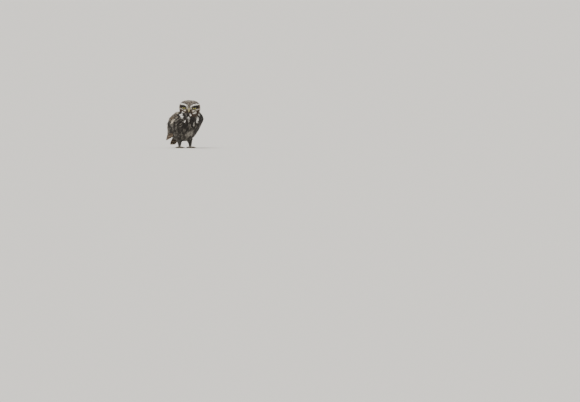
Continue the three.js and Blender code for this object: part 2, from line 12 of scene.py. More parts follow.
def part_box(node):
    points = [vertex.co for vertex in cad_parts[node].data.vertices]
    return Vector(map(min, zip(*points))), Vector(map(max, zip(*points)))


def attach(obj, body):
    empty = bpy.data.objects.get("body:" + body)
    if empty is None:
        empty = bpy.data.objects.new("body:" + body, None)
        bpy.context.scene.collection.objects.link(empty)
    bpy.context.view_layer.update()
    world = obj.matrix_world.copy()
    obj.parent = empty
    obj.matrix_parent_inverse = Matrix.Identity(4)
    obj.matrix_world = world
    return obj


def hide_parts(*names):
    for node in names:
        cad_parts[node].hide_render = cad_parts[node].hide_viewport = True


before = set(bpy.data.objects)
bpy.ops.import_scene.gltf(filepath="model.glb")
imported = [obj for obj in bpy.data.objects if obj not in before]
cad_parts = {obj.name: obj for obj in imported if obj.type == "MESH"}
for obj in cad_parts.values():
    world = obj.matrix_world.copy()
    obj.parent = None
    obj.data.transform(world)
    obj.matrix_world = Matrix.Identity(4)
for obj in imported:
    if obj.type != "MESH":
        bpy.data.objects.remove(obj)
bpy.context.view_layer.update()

# Camera
# The picture was taken through a very long lens from far off, at the owl's right front and nearly level.
# The owl stands left of the middle and high in the frame, and takes up an eighth of its height.
MM = 0.001
PICTURE_WIDTH = 580
PICTURE_HEIGHT = 402
MM_PER_PIXEL = 3.7
OWL_COLUMN = 184.3  # pixel column of the owl's vertical axis
FLOOR_ROW = 148.0  # pixel row of the soles
LENS_MM = 560.0
SENSOR_MM = 36.0
CAMERA_AZIMUTH = math.radians(-40)
CAMERA_HEIGHT = 0.62


def add_object(name, data, *materials):
    """A new object at the origin with its finished mesh, lamp or camera."""
    for material in materials:
        data.materials.append(material)
    made = bpy.data.objects.new(name, data)
    bpy.context.scene.collection.objects.link(made)
    return made


camera_data = bpy.data.cameras.new("camera")
camera_data.lens = LENS_MM
camera_data.sensor_width = SENSOR_MM
camera_distance = PICTURE_WIDTH * MM_PER_PIXEL * MM * LENS_MM / SENSOR_MM
camera_data.clip_start = 1.0
camera_data.clip_end = 20 * camera_distance
camera = add_object("camera", camera_data)
bpy.context.scene.camera = camera
picture_right = Vector((math.cos(CAMERA_AZIMUTH), math.sin(CAMERA_AZIMUTH), 0))
towards_camera = Vector((math.sin(CAMERA_AZIMUTH), -math.cos(CAMERA_AZIMUTH), 0))
aim = picture_right * (PICTURE_WIDTH / 2 - OWL_COLUMN) * MM_PER_PIXEL * MM
aim.z = -(PICTURE_HEIGHT / 2 - FLOOR_ROW) * MM_PER_PIXEL * MM
camera.location = aim + towards_camera * camera_distance
camera.location.z = CAMERA_HEIGHT
camera.rotation_euler = (aim - camera.location).to_track_quat("-Z", "Y").to_euler()


# Studio
# A pale seamless floor, wide enough to fill the frame to its top edge, under soft light from large lamps.
# The lamps stand far off, so the floor is lit evenly from edge to edge.
FLOOR_COLOUR = "E6E3DD"
FLOOR_REACH = 400.0
LAMPS = (
    {"name": "key", "strength": 2.3, "azimuth": -62, "elevation": 42, "softness": 24},
    {"name": "fill", "strength": 0.7, "azimuth": 25, "elevation": 30, "softness": 60},
    {"name": "rim", "strength": 1.1, "azimuth": 165, "elevation": 48, "softness": 30},
)
WORLD_STRENGTH = 0.8


def linear(code):
    """A linear colour with alpha from an sRGB hex code."""
    parts = [int(code[i : i + 2], 16) / 255 for i in (0, 2, 4)]
    return (*[c / 12.92 if c <= 0.04045 else ((c + 0.055) / 1.055) ** 2.4 for c in parts], 1.0)


def add_node(tree, kind, settings=(), inputs=()):
    """A new node with its settings, and inputs that are values, sockets or nodes (their first output)."""
    made = tree.nodes.new(kind)
    for name, value in dict(settings).items():
        setattr(made, name, value)
    for key, value in inputs.items() if isinstance(inputs, dict) else enumerate(inputs):
        if isinstance(value, bpy.types.Node):
            value = value.outputs[0]
        if isinstance(value, bpy.types.NodeSocket):
            tree.links.new(value, made.inputs[key])
        else:
            made.inputs[key].default_value = value
    return made


def material_with(name, surface=()):
    """A new material with its tree and its Principled shader, whose plain sockets are set."""
    material = bpy.data.materials.new(name)
    material.use_nodes = True
    shader = material.node_tree.nodes["Principled BSDF"]
    for key, value in dict(surface).items():
        shader.inputs[key].default_value = value
    return material, material.node_tree, shader


# Rolled background paper: matt, with a grain too fine to see.
paper, _, _ = material_with(
    "seamless paper", {"Roughness": 0.95, "Specular IOR Level": 0.1, "Base Color": linear(FLOOR_COLOUR)}
)
floor_mesh = bpy.data.meshes.new("floor")
corner_signs = ((-1, -1), (1, -1), (1, 1), (-1, 1))
floor_corners = [(side * FLOOR_REACH, end * FLOOR_REACH, 0) for side, end in corner_signs]
floor_mesh.from_pydata(floor_corners, [], [(0, 1, 2, 3)])
floor = add_object("floor", floor_mesh, paper)

for lamp in LAMPS:
    lamp_data = bpy.data.lights.new(lamp["name"], "SUN")
    lamp_data.energy = lamp["strength"]
    lamp_data.angle = math.radians(lamp["softness"])
    lamp_object = add_object(lamp["name"], lamp_data)
    turn, tilt = math.radians(lamp["azimuth"]), math.radians(lamp["elevation"])
    source = Vector((math.sin(turn) * math.cos(tilt), -math.cos(turn) * math.cos(tilt), math.sin(tilt)))
    lamp_object.rotation_euler = source.to_track_quat("Z", "Y").to_euler()

world = bpy.data.worlds.new("studio")
bpy.context.scene.world = world
world.use_nodes = True
sky = world.node_tree.nodes["Background"]
sky.inputs["Color"].default_value = linear(FLOOR_COLOUR)
sky.inputs["Strength"].default_value = WORLD_STRENGTH


# Skin
# The bird's body under its feathers: one unbroken surface over head, neck, trunk and legs.
# It lies inside the plumage by the coat's depth, and shows only as dark down where feathers part.
SKIN_VOXEL = 1.6 * MM
SKIN_SMOOTHING = 12
SKIN_SOFTENING = 4  # rounds of smoothing after the skin has been sunk under the coat
BODY_DEPTH = 3.4
HEAD_DEPTH = 2.2
LEG_DEPTH = 1.2
FLESH = ("head", "neck", "torso", "leg_left", "leg_right")
HEAD_TURN = (
    Matrix.Rotation(math.radians(-44), 3, "Z")
    @ Matrix.Rotation(math.radians(7), 3, "X")
    @ Matrix.Rotation(math.radians(2.5), 3, "Y")
)
HEAD_AT = Vector((-4.5, -33.5, 150))  # the head's centre, in millimetres from the body's own axis
EYE_SPREAD = 18.0  # from the head's middle plane to each eye's centre
EYE_FORWARD = 20.2
EYE_UP = 4.0
BILL_BASE = (0.0, 34.0, -1.0)


def middle_of(name):
    low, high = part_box(name)
    return (Vector(low) + Vector(high)) / 2


head_centre = (middle_of("eye_left") + middle_of("eye_right")) / 2
head_centre -= HEAD_TURN @ Vector((0, -EYE_FORWARD, EYE_UP)) * MM
body_shift = np.array(head_centre - HEAD_AT * MM)
head_axes = np.array(HEAD_TURN)


def in_head(points):
    """Places as [side, forward, up] in millimetres from the head's centre, in the head's own frame."""
    return (points - np.array(head_centre)) @ head_axes / MM * (1, -1, 1)


def from_head(places):
    """Frame points from [side, forward, up] places in millimetres on the head."""
    return (np.asarray(places, float) * (1, -1, 1)) @ head_axes.T * MM + np.array(head_centre)


def in_body(points):
    """Places as [side, forward, up] in millimetres on the body, with up measured from the floor."""
    return (points - body_shift) / MM * (1, -1, 1)


def from_body(places):
    """Frame points from [side, forward, up] places in millimetres on the body."""
    return np.asarray(places, float) * (1, -1, 1) * MM + body_shift


def fade(low, high, value):
    """A smooth step from 0 at low to 1 at high."""
    share = np.clip((value - low) / (high - low), 0, 1)
    return share * share * (3 - 2 * share)


def unit(vectors):
    return vectors / np.maximum(np.linalg.norm(vectors, axis=-1, keepdims=True), 1e-9)


def node_mesh(name):
    """The merged vertices and triangles of a node of the frame."""
    made = bmesh.new()
    made.from_mesh(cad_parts[name].data)
    bmesh.ops.remove_doubles(made, verts=made.verts, dist=1e-6)
    made.verts.ensure_lookup_table()
    vertices = np.array([vertex.co[:] for vertex in made.verts])
    faces = [[vertex.index for vertex in face.verts] for face in made.faces]
    made.free()
    return vertices, faces


def tree_of(name):
    vertices, faces = node_mesh(name)
    return BVHTree.FromPolygons(vertices.tolist(), faces)


def distances(tree, points):
    return np.array([tree.find_nearest(point)[3] for point in points.tolist()])


def applied(piece):
    """The mesh that a piece's modifiers make of it; the modifiers are then taken off."""
    mesh = bpy.data.meshes.new_from_object(piece.evaluated_get(bpy.context.evaluated_depsgraph_get()))
    piece.modifiers.clear()
    return mesh


def points_of(mesh):
    return np.array([vertex.co[:] for vertex in mesh.vertices])


def add_piece(name, mesh, material, slot, *nodes):
    """A finished piece of the bird, which rides on its one body and may replace nodes of the frame."""
    piece = add_object(name, mesh, material)
    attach(piece, "root")
    if nodes:
        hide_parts(*nodes)
    return piece


flesh_vertices, flesh_faces = [], []
for name in FLESH:
    vertices, faces = node_mesh(name)
    offset = sum(len(part) for part in flesh_vertices)
    flesh_faces += [[index + offset for index in face] for face in faces]
    flesh_vertices.append(vertices)
flesh_mesh = bpy.data.meshes.new("flesh")
flesh_mesh.from_pydata(np.concatenate(flesh_vertices).tolist(), [], flesh_faces)
skin = add_object("skin", flesh_mesh)
remesh = skin.modifiers.new("remesh", "REMESH")
remesh.mode = "VOXEL"
remesh.voxel_size = SKIN_VOXEL
smooth = skin.modifiers.new("smooth", "SMOOTH")
smooth.iterations = SKIN_SMOOTHING
whole = applied(skin)

# Only the largest closed surface is kept, in triangles.
made = bmesh.new()
made.from_mesh(whole)
bmesh.ops.triangulate(made, faces=made.faces)
made.faces.ensure_lookup_table()
islands, waiting = [], set(made.faces)
while waiting:
    island, edge_of_island = [], [waiting.pop()]
    while edge_of_island:
        face = edge_of_island.pop()
        island.append(face)
        beside = {other for edge in face.edges for other in edge.link_faces} & waiting
        waiting -= beside
        edge_of_island += beside
    islands.append(island)
largest = max(islands, key=len)
loose = [face for island in islands if island is not largest for face in island]
bmesh.ops.delete(made, geom=loose, context="FACES")
made.verts.ensure_lookup_table()
made.verts.index_update()
made.normal_update()
outer = np.array([vertex.co[:] for vertex in made.verts])
outer_normals = np.array([vertex.normal[:] for vertex in made.verts])
reach = {name: distances(tree_of(name), outer) / MM for name in FLESH}
head_share = fade(1.0, -1.0, reach["head"] - np.minimum(reach["neck"], reach["torso"]))
leg_share = fade(1.5, -1.5, np.minimum(reach["leg_left"], reach["leg_right"]) - reach["torso"])
depth = BODY_DEPTH + (HEAD_DEPTH - BODY_DEPTH) * head_share + (LEG_DEPTH - BODY_DEPTH) * leg_share
for vertex, inwards in zip(made.verts, outer_normals * depth[:, None] * MM):
    vertex.co -= Vector(inwards)
for _ in range(SKIN_SOFTENING):
    bmesh.ops.smooth_vert(
        made, verts=made.verts, factor=0.5, use_axis_x=True, use_axis_y=True, use_axis_z=True)
made.normal_update()
skin_points = np.array([vertex.co[:] for vertex in made.verts])
skin_faces = np.array([[vertex.index for vertex in face.verts] for face in made.faces])
skin_mesh = bpy.data.meshes.new("skin")
vertex_normals = np.array([vertex.normal[:] for vertex in made.verts])
made.to_mesh(skin_mesh)
made.free()
skin.data = skin_mesh

# The coat lies back from the bill and out from each eye, down the nape, neck and trunk, and back under the
# belly towards the tail.
skin_centres = skin_points[skin_faces].mean(axis=1)
crossed = np.cross(
    skin_points[skin_faces[:, 1]] - skin_points[skin_faces[:, 0]],
    skin_points[skin_faces[:, 2]] - skin_points[skin_faces[:, 0]],
)
skin_areas = np.linalg.norm(crossed, axis=1) / 2
skin_normals = unit(vertex_normals[skin_faces].mean(axis=1))
on_head = head_share[skin_faces].mean(axis=1)
on_leg = leg_share[skin_faces].mean(axis=1)
skin_tree = BVHTree.FromPolygons(skin_points.tolist(), skin_faces.tolist())


def axis_forward(up):
    """How far forward the trunk's own axis lies at each height."""
    return np.interp(up, [24, 59, 107, 139], [-12, -7, 12.5, 23])


def coat_lie(points, head):
    """The direction that feathers point in at places on the body."""
    side, forward, up = in_head(points).T
    lie = unit(np.stack([side, forward - BILL_BASE[1], up - BILL_BASE[2]], axis=1))
    for eye in (-EYE_SPREAD, EYE_SPREAD):
        from_eye = np.stack([side - eye, (forward - EYE_FORWARD) * 0.3, up - EYE_UP], axis=1)
        near = fade(20, 13, np.linalg.norm(from_eye, axis=1))[:, None] * (forward > 0)[:, None]
        lie = lie * (1 - near) + unit(from_eye) * near
    lie[:, 2] -= 1.7 * fade(14, -16, forward) + 0.8 * fade(-8, -20, up)
    lie_head = (unit(lie) * (1, -1, 1)) @ head_axes.T
    side, forward, up = in_body(points).T
    back = np.where(forward < axis_forward(up), 0.5, 0.0) + 1.3 * fade(52, 34, up) * fade(-40, 10, forward)
    lie_body = unit(np.stack([side * 0.004, back, -np.ones(len(side))], axis=1))
    return unit(lie_head * head[:, None] + lie_body * (1 - head)[:, None])


lie = coat_lie(skin_centres, on_head)
skin_lie = unit(lie - skin_normals * np.sum(lie * skin_normals, axis=1, keepdims=True))
head_places = in_head(skin_centres)
body_places = in_body(skin_centres)
from_eye = np.hypot(np.abs(head_places[:, 0]) - EYE_SPREAD, head_places[:, 2] - EYE_UP)
round_body = np.degrees(np.arctan2(body_places[:, 0], body_places[:, 1] - axis_forward(body_places[:, 2])))


# Markings
# The same colours on skin and coat: umber above with white spots, dark streaks on the breast, white brows,
# a white moustache under a grey-brown facial disc, a dark collar and buff-white legs. Painted shade darkens
# the breast, belly and legs, and a painted shadow of the brow lies over the top of each eye.
UMBER = "4A3A2D"
UMBER_DARK = "2C231B"
MANTLE_TAWNY = "75644F"
MANTLE_BROWN = "443A30"
CROWN_BROWN = "5C534A"
SPOT_WHITE = "D8CDB8"
CROWN_SPOT = "D2C7B2"
BROW_WHITE = "FAF7F0"
MOUSTACHE_WHITE = "F4F0E6"
DISC_BROWN = "7F7160"
LORES_PALE = "C9BEA8"
EYE_RING_AND_BROW_SHADOW = "120E0C"
COLLAR_DARK = "3A2D22"
LORES_DARK = "31251C"
CHEEK_PALE = "E0D8CB"
FOREHEAD_GREY = "625B50"
BREAST_WHITE = "F5F1E9"
# Painted shade: the breast and belly grounds are painted a near-black brown, far darker than their own buff,
# as if the underparts stood in shadow.
BREAST_BROWN_WITH_PAINTED_SHADE = "2A2521"
BELLY_BROWN_WITH_PAINTED_SHADE = "3B3732"
STREAK_DARK = "151210"
VENT_WHITE = "98938A"
# Painted shade: the legs' buff-white feathers are painted dark grey, as if they stood in shadow.
LEG_GREY_WITH_PAINTED_SHADE = "474541"
# The middle line of the brow and of the moustache: height over distance from the head's middle plane.
BROW_LINE = ([5, 6.5, 10, 17, 24, 33.8], [4.7, 8.4, 11.9, 14.6, 15.6, 14.2])
MOUSTACHE_LINE = ([5, 16, 23, 36], [-24, -18.5, -15, -11])
# White patches on the throat, the breast and the shoulder, and the pale belly: centre, radii and strength.
WHITE_PATCHES = (
    ((-49, 36, 125), (5.5, 6, 4.6), 1),
    ((-51.5, 46, 117.5), (5, 6, 5), 1),
    ((-51.5, 51, 111), (3.6, 5, 3.6), 0.8),
    ((-41.5, 49, 102), (3.8, 5, 4.2), 0.75),
    ((-23, 60, 123), (2.8, 3.8, 2.6), 0.75),
    ((-32.5, 59.5, 113.5), (3.2, 4.2, 3.6), 0.9),
    ((-30.5, 61, 104), (2.6, 4, 3), 0.5),
    ((5.5, 68.5, 108.5), (6, 7, 7), 0.9),
    ((4.5, 68, 99.5), (4.5, 6, 5), 0.7),
    ((16, 62.5, 122.5), (4.6, 6, 4), 0.8),
    ((-10.5, 65.5, 93.5), (2.4, 6, 9), 0.5),
)
SCAPULAR_PATCHES = (
    ((-61.5, 11, 105), (6, 6, 4.2), 1),
    ((-63.5, 4, 98), (6, 6, 4.6), 1),
    ((-58.3, 25, 114), (3.5, 4, 3), 0.5),
    ((-45, 11, 131.5), (5, 6, 3.5), 1),
)
BELLY_PATCH = ((-8, 39, 55), (15, 22, 12), 0.75)


def colour(code):
    return np.array(linear(code)[:3])


def clumps(places, breadth, length):
    """Soft noise for loose clumps of feathers, of a breadth and a length down the body in millimetres."""
    drawn = places / np.array([breadth, breadth, length])
    return 2 * np.array([noise.noise(place) for place in drawn.tolist()])


def blended(base, code, share):
    return base + (colour(code) - base) * np.clip(share, 0, 1)[:, None]


def patch(places, centre, radii, strength=1.0):
    """How far inside a soft-edged ellipsoid each place lies, from 0 outside to its strength within."""
    reach = np.linalg.norm((places - np.array(centre)) / np.array(radii), axis=1)
    return strength * fade(1.25, 0.6, reach)


def scapular_white(places):
    return np.maximum.reduce([patch(places, *spot) for spot in SCAPULAR_PATCHES])


def head_marks(points):
    """Ground and spot colours and the strength of the spots at places on the head."""
    places = in_head(points)
    side, forward, up = places.T
    across = np.abs(side)
    eye_reach = np.hypot(across - EYE_SPREAD, up - EYE_UP)
    facing = fade(2, 10, forward)
    above_brow = up - np.interp(across, *BROW_LINE)
    above_moustache = up - np.interp(across, *MOUSTACHE_LINE)
    ground = blended(np.tile(colour(CROWN_BROWN), (len(side), 1)), UMBER, 0.6 * fade(5, -15, forward))
    clump = clumps(places, 3.4, 6)
    ground = blended(ground, UMBER_DARK, 0.55 * fade(0.1, 0.7, clump) * fade(-20, 0, forward))
    ground = blended(ground, CHEEK_PALE, 0.4 * fade(-0.1, -0.7, clump) * fade(0, 10, forward))
    over_brow = facing * fade(1.5, 3, above_brow) * fade(8, 5, above_brow) * fade(5, 10, across)
    ground = blended(ground, UMBER_DARK, 0.75 * over_brow)
    spot = np.tile(colour(CROWN_SPOT), (len(side), 1))
    spot = blended(spot, SPOT_WHITE, fade(0, -18, forward))
    strength = 0.6 + 0.3 * fade(0, -20, forward)
    disc = facing * fade(22, 20, eye_reach) * fade(1, -1, above_brow)
    ground = blended(ground, DISC_BROWN, disc)
    cheek = disc * fade(-0.5, -3, up) * fade(-12.5, -9.5, up + 0.25 * (across - 18)) * fade(11, 15, across)
    ground = blended(ground, CHEEK_PALE, cheek)
    # Painted shadow of the brow: a dark band over the disc between the brow and the top of the eye.
    painted_brow_shadow = disc * fade(0, 2, up) * fade(9, 12, across) * fade(21.5, 15, eye_reach)
    ground = blended(ground, EYE_RING_AND_BROW_SHADOW, 0.92 * painted_brow_shadow)
    lores = facing * fade(13, 9, across) * fade(9, 5, up) * fade(-18, -12, up)
    ground = blended(ground, LORES_PALE, lores * fade(-5, -1, up) * fade(10, 7, across))
    ground = blended(ground, LORES_DARK, lores * fade(-1, -5, up))
    forehead = facing * fade(4.5, 2.5, across) * fade(-1, 2, up) * fade(15, 10, up)
    ground = blended(ground, FOREHEAD_GREY, forehead)
    # A dark ring round the eye: full strength over the top half, where it adds painted shadow from the brow,
    # and half strength below.
    ring = facing * fade(10.8, 9, eye_reach) * np.maximum(fade(-6, -1, up - EYE_UP), 0.5)
    ground = blended(ground, EYE_RING_AND_BROW_SHADOW, ring)
    brow = facing * fade(2.0, 1.1, np.abs(above_brow)) * fade(3, 4.5, across) * fade(37, 33, across)
    inner = facing * fade(2.8, 1.8, np.abs(across - 6.3)) * fade(-2, 0.5, up) * fade(9, 6, up)
    pale_end = facing * patch(places, (-26, 18, 15), (6, 20, 3.2))
    brow = np.maximum.reduce([brow, inner, pale_end])
    ground = blended(ground, BROW_WHITE, brow)
    collar = facing * fade(-4, -8, above_moustache) * fade(5, 12, across + 10 * fade(-14, -18, up))
    line = facing * fade(3.2, 1.8, np.abs(above_moustache - 6.2)) * fade(4, 7, across) * fade(38, 34, across)
    behind = facing * fade(6, 4, np.abs(above_moustache)) * fade(25, 28, across) * fade(38, 34, across)
    line = np.maximum(line, behind)
    ground = blended(ground, COLLAR_DARK, np.maximum(collar, line))
    moustache = facing * fade(3.3, 2.2, np.abs(above_moustache)) * fade(3, 6, across) * fade(28, 25, across)
    ground = blended(ground, MOUSTACHE_WHITE, moustache)
    chin = facing * fade(6, 4, across) * fade(-13, -16, up) * fade(-25, -21, up)
    ground = blended(ground, LORES_PALE, 0.2 * chin)
    plain_parts = [disc, brow, moustache, lores, forehead, ring, collar, line, chin]
    return ground, spot, strength * (1 - np.maximum.reduce(plain_parts))


def body_marks(points, under=None):
    """Ground and streak or spot colours and the strength of the marks at places on the body and legs."""
    places = in_body(points)
    side, forward, up = places.T
    turn = np.degrees(np.arctan2(side, forward - axis_forward(up)))
    if under is None:
        under = np.maximum(fade(118, 96, np.abs(turn) + 26 * fade(110, 120, up)), fade(56, 46, up))
    low = fade(92, 60, up)
    under_ground = blended(np.tile(colour(BREAST_BROWN_WITH_PAINTED_SHADE), (len(side), 1)), BELLY_BROWN_WITH_PAINTED_SHADE, low)
    clump = clumps(places, 6.5, 19)
    vent = fade(50, 36, up) * fade(0, -30, forward)
    under_ground = blended(under_ground, VENT_WHITE, 0.2 * vent)
    under_ground = blended(under_ground, STREAK_DARK, 0.7 * fade(0.05, 0.7, clump))
    under_ground = blended(under_ground, VENT_WHITE, 0.42 * fade(-0.1, -0.8, clump))
    hind = fade(-34, -48, forward) * fade(20, 30, np.abs(side))
    under_ground = blended(under_ground, UMBER_DARK, 0.85 * hind)
    under_ground = blended(under_ground, VENT_WHITE, patch(places, *BELLY_PATCH))
    white = np.maximum.reduce([patch(places, *spot) for spot in WHITE_PATCHES])
    collar = patch(places, (-8, 62, 124), (22, 20, 8)) * under
    ground = np.tile(colour(MANTLE_BROWN), (len(side), 1))
    ground = blended(ground, UMBER_DARK, 0.6 * fade(0.05, 0.7, clump))
    ground = blended(ground, MANTLE_TAWNY, 0.45 * fade(-0.05, -0.7, clump))
    ground = ground + (under_ground - ground) * under[:, None]
    ground = blended(ground, COLLAR_DARK, collar)
    ground = blended(ground, BREAST_WHITE, white)
    ground = blended(ground, SPOT_WHITE, 0.9 * scapular_white(places))
    mark = blended(np.tile(colour(SPOT_WHITE), (len(side), 1)), STREAK_DARK, fade(0.15, 0.3, under))
    strength = 0.75 * (1 - under) + under * (0.72 - 0.22 * low - 0.25 * fade(46, 34, up))
    # The legs take their dark grey of painted shade.
    legs = fade(34, 28, up)
    ground = blended(ground, LEG_GREY_WITH_PAINTED_SHADE, legs)
    return ground, mark, strength * (1 - legs) * (1 - collar) * (1 - 0.75 * white)


def coat_marks(points, head):
    sets = zip(head_marks(points), body_marks(points))
    share = head[:, None]
    return [
        on * share + off * (1 - share) if on.ndim == 2 else on * head + off * (1 - head) for on, off in sets]


def paint(mesh, name, values):
    """A colour attribute on a mesh's points."""
    layer = mesh.attributes.new(name, "FLOAT_COLOR", "POINT")
    layer.data.foreach_set("color", np.concatenate([values, np.ones((len(values), 1))], axis=1).ravel())


ground, _, _ = coat_marks(skin_points, head_share)
paint(skin_mesh, "ground", ground)
# Down: soft, dull and a shade darker than the feathers over it.
down, tree, shader = material_with(
    "down", {"Roughness": 0.95, "Specular IOR Level": 0.15, "Sheen Weight": 0.3})
place = add_node(tree, "ShaderNodeTexCoord").outputs["Object"]
tint = add_node(tree, "ShaderNodeAttribute", {"attribute_name": "ground"}).outputs["Color"]
DOWN_GRAIN = 1.4  # millimetres, the width of a tuft of down
fluff = add_node(tree, "ShaderNodeTexNoise", (), {"Vector": place, "Scale": 1000 / DOWN_GRAIN, "Detail": 4.0})
shade = add_node(
    tree, "ShaderNodeMapRange", (), {"Value": fluff.outputs["Fac"], "To Min": 0.25, "To Max": 0.75})
dark = add_node(
    tree, "ShaderNodeVectorMath", {"operation": "SCALE"}, {0: tint, "Scale": shade.outputs["Result"]})
tree.links.new(dark.outputs["Vector"], shader.inputs["Base Color"])
bump = add_node(
    tree, "ShaderNodeBump", (), {"Height": fluff.outputs["Fac"], "Strength": 0.6, "Distance": 0.5 * MM})
tree.links.new(bump.outputs["Normal"], shader.inputs["Normal"])
skin_mesh.materials.append(down)
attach(skin, "root")
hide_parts(*FLESH)


# Coat
# Contour feathers grow in dense tracts, each a flat vane with a shaft, and overlap one another like shingles.
# Each is a thin closed mesh that follows the skin down the lie of the coat and rises a little to its tip.
VANE_THICKNESS = 0.22
VANE_CAMBER = 0.25  # how far a vane's edges droop, as a share of its half width
TIMES_CLAMPED = {"operation": "MULTIPLY", "use_clamp": True}
TIMES_PLUS = {"operation": "MULTIPLY_ADD"}
TIMES = {"operation": "MULTIPLY"}
MINUS = {"operation": "SUBTRACT"}
PLUS = {"operation": "ADD"}
FACT_LENGTH = 25  # millimetres of feather that count as 1 in its facts
RAGGEDNESS = 0.34  # how far a mark's edge wanders, as a share of the vane's breadth
BAKE_PATCH = 0.003
BIRD_HEIGHT = 180.0


class Template:
    """The grid of one thin closed feather: an upper and a lower sheet that share their border."""

    def __init__(self, rows, columns, widths, rounding):
        across, along = np.meshgrid(np.linspace(-1, 1, columns + 1), np.linspace(0, 1, rows + 1))
        self.rows = rows
        border = np.zeros(across.shape, bool)
        border[[0, -1], :] = True
        border[:, [0, -1]] = True
        upper = np.arange(across.size).reshape(across.shape)
        lower = upper.copy()
        lower[~border] = across.size + np.arange((~border).sum())
        quads = []
        for sheet, flip in ((upper, 1), (lower, -1)):
            corners = [sheet[:-1, :-1], sheet[:-1, 1:], sheet[1:, 1:], sheet[1:, :-1]][::flip]
            quads.append(np.stack(corners, axis=-1).reshape(-1, 4))
        self.faces = np.concatenate(quads)
        inner = ~border.ravel()
        self.across = np.concatenate([across.ravel(), across.ravel()[inner]])
        self.along = np.concatenate([along.ravel(), along.ravel()[inner]])
        self.width = np.interp(self.along, widths[0], widths[1])
        self.pull = rounding * self.across**2 * self.along**4
        column = np.indices(across.shape)[1].ravel()
        self.column = np.concatenate([column, column[inner]])
        self.side = np.concatenate([np.where(border.ravel(), 0, 0.5), np.full(inner.sum(), -0.5)])
        self.columns = columns + 1
        edge = np.zeros((len(self.along), len(self.along)), bool)
        rim = np.concatenate([upper[0], upper[1:, -1], upper[-1, -2::-1], upper[-2:0:-1, 0]])
        edge[rim, np.roll(rim, -1)] = True
        self.edge = edge | edge.T


def feathers(name, template, lines, ups, widths, camber, fray, roots_uv, marks, seed):
    """One mesh of many feathers, each a template bent along its own centreline."""
    count, stations = lines.shape[:2]
    random = np.random.default_rng(seed)
    ahead = unit(np.gradient(lines, axis=1))
    aside = unit(np.cross(ahead, ups))
    length = np.linalg.norm(np.diff(lines, axis=1), axis=2).sum(axis=1)
    spot = template.along * (stations - 1)
    low = np.minimum(spot.astype(int), stations - 2)
    share = (spot - low)[None, :, None]
    at = lines[:, low] * (1 - share) + lines[:, low + 1] * share
    up = unit(ups[:, low] * (1 - share) + ups[:, low + 1] * share)
    side = unit(aside[:, low] * (1 - share) + aside[:, low + 1] * share)
    front = unit(ahead[:, low] * (1 - share) + ahead[:, low + 1] * share)
    half = (widths[:, None] / 2 * template.width)[..., None]
    ragged = random.normal(0, fray, (count, template.columns))[:, template.column] * template.along**6
    pulled = (length[:, None] * (ragged - template.pull))[..., None]
    points = at + side * half * template.across[:, None] + front * pulled
    points += up * (template.side * VANE_THICKNESS * MM)[:, None]
    points -= up * half * camber * (template.across**2)[:, None]
    vertices = len(template.along)
    mesh = bpy.data.meshes.new(name)
    mesh.vertices.add(count * vertices)
    mesh.vertices.foreach_set("co", points.astype(np.float32).ravel())
    faces = (template.faces[None] + (np.arange(count) * vertices)[:, None, None]).reshape(-1, 4)
    mesh.loops.add(faces.size)
    mesh.loops.foreach_set("vertex_index", faces.astype(np.int32).ravel())
    mesh.polygons.add(len(faces))
    mesh.polygons.foreach_set("loop_start", np.arange(0, faces.size, 4, dtype=np.int32))
    mesh.polygons.foreach_set("use_smooth", np.ones(len(faces), bool))
    mesh.update(calc_edges=True)
    ends = np.empty(len(mesh.edges) * 2, np.int32)
    mesh.edges.foreach_get("vertices", ends)
    ends = ends.reshape(-1, 2) % vertices
    sharp = mesh.attributes.new("sharp_edge", "BOOLEAN", "EDGE")
    sharp.data.foreach_set("value", template.edge[ends[:, 0], ends[:, 1]])
    ground, accent, strength = marks
    paint(mesh, "ground", np.repeat(ground, vertices, axis=0))
    paint(mesh, "accent", np.repeat(accent, vertices, axis=0))
    facts = np.stack([strength, length / MM / FACT_LENGTH, random.random(count)], axis=1)
    paint(mesh, "facts", np.repeat(facts, vertices, axis=0))
    vane = np.stack([template.across / 2 + 0.5, template.along], axis=1)
    loops = faces.ravel()
    vane_map = mesh.uv_layers.new(name="Vane")
    vane_map.data.foreach_set("uv", np.tile(vane, (count, 1))[loops].astype(np.float32).ravel())
    if roots_uv.ndim == 2:
        patches = roots_uv[:, None] + (vane[None] - 0.5) * BAKE_PATCH
    else:
        patches = roots_uv[:, None, 0] + vane[None] * roots_uv[:, None, 1]
    bake_map = mesh.uv_layers.new(name="OFBake")
    bake_map.data.foreach_set("uv", patches.reshape(-1, 2)[loops].astype(np.float32).ravel())
    return mesh


def scatter(mask, spacing, seed):
    """Roots spread evenly over some of the skin's triangles, no two closer than the spacing."""
    random = np.random.default_rng(seed)
    chosen = np.flatnonzero(mask)
    weights = skin_areas[chosen]
    count = int(6 * weights.sum() / (spacing * MM) ** 2)
    faces = random.choice(chosen, count, p=weights / weights.sum())
    first, second = random.random((2, count))
    over = first + second > 1
    first, second = np.where(over, 1 - first, first), np.where(over, 1 - second, second)
    corners = skin_points[skin_faces[faces]]
    points = corners[:, 0] + first[:, None] * (corners[:, 1] - corners[:, 0])
    points += second[:, None] * (corners[:, 2] - corners[:, 0])
    cells = np.floor(points / (spacing * MM)).astype(int).tolist()
    places = (points / (spacing * MM)).tolist()
    kept, filled = [], {}
    for index, (cell, here) in enumerate(zip(cells, places)):
        near = (
            filled.get((cell[0] + i, cell[1] + j, cell[2] + k), ())
            for i in (-1, 0, 1)
            for j in (-1, 0, 1)
            for k in (-1, 0, 1)
        )
        if all(math.dist(here, other) >= 1 for group in near for other in group):
            filled.setdefault(tuple(cell), []).append(here)
            kept.append(index)
    return points[kept], faces[kept]


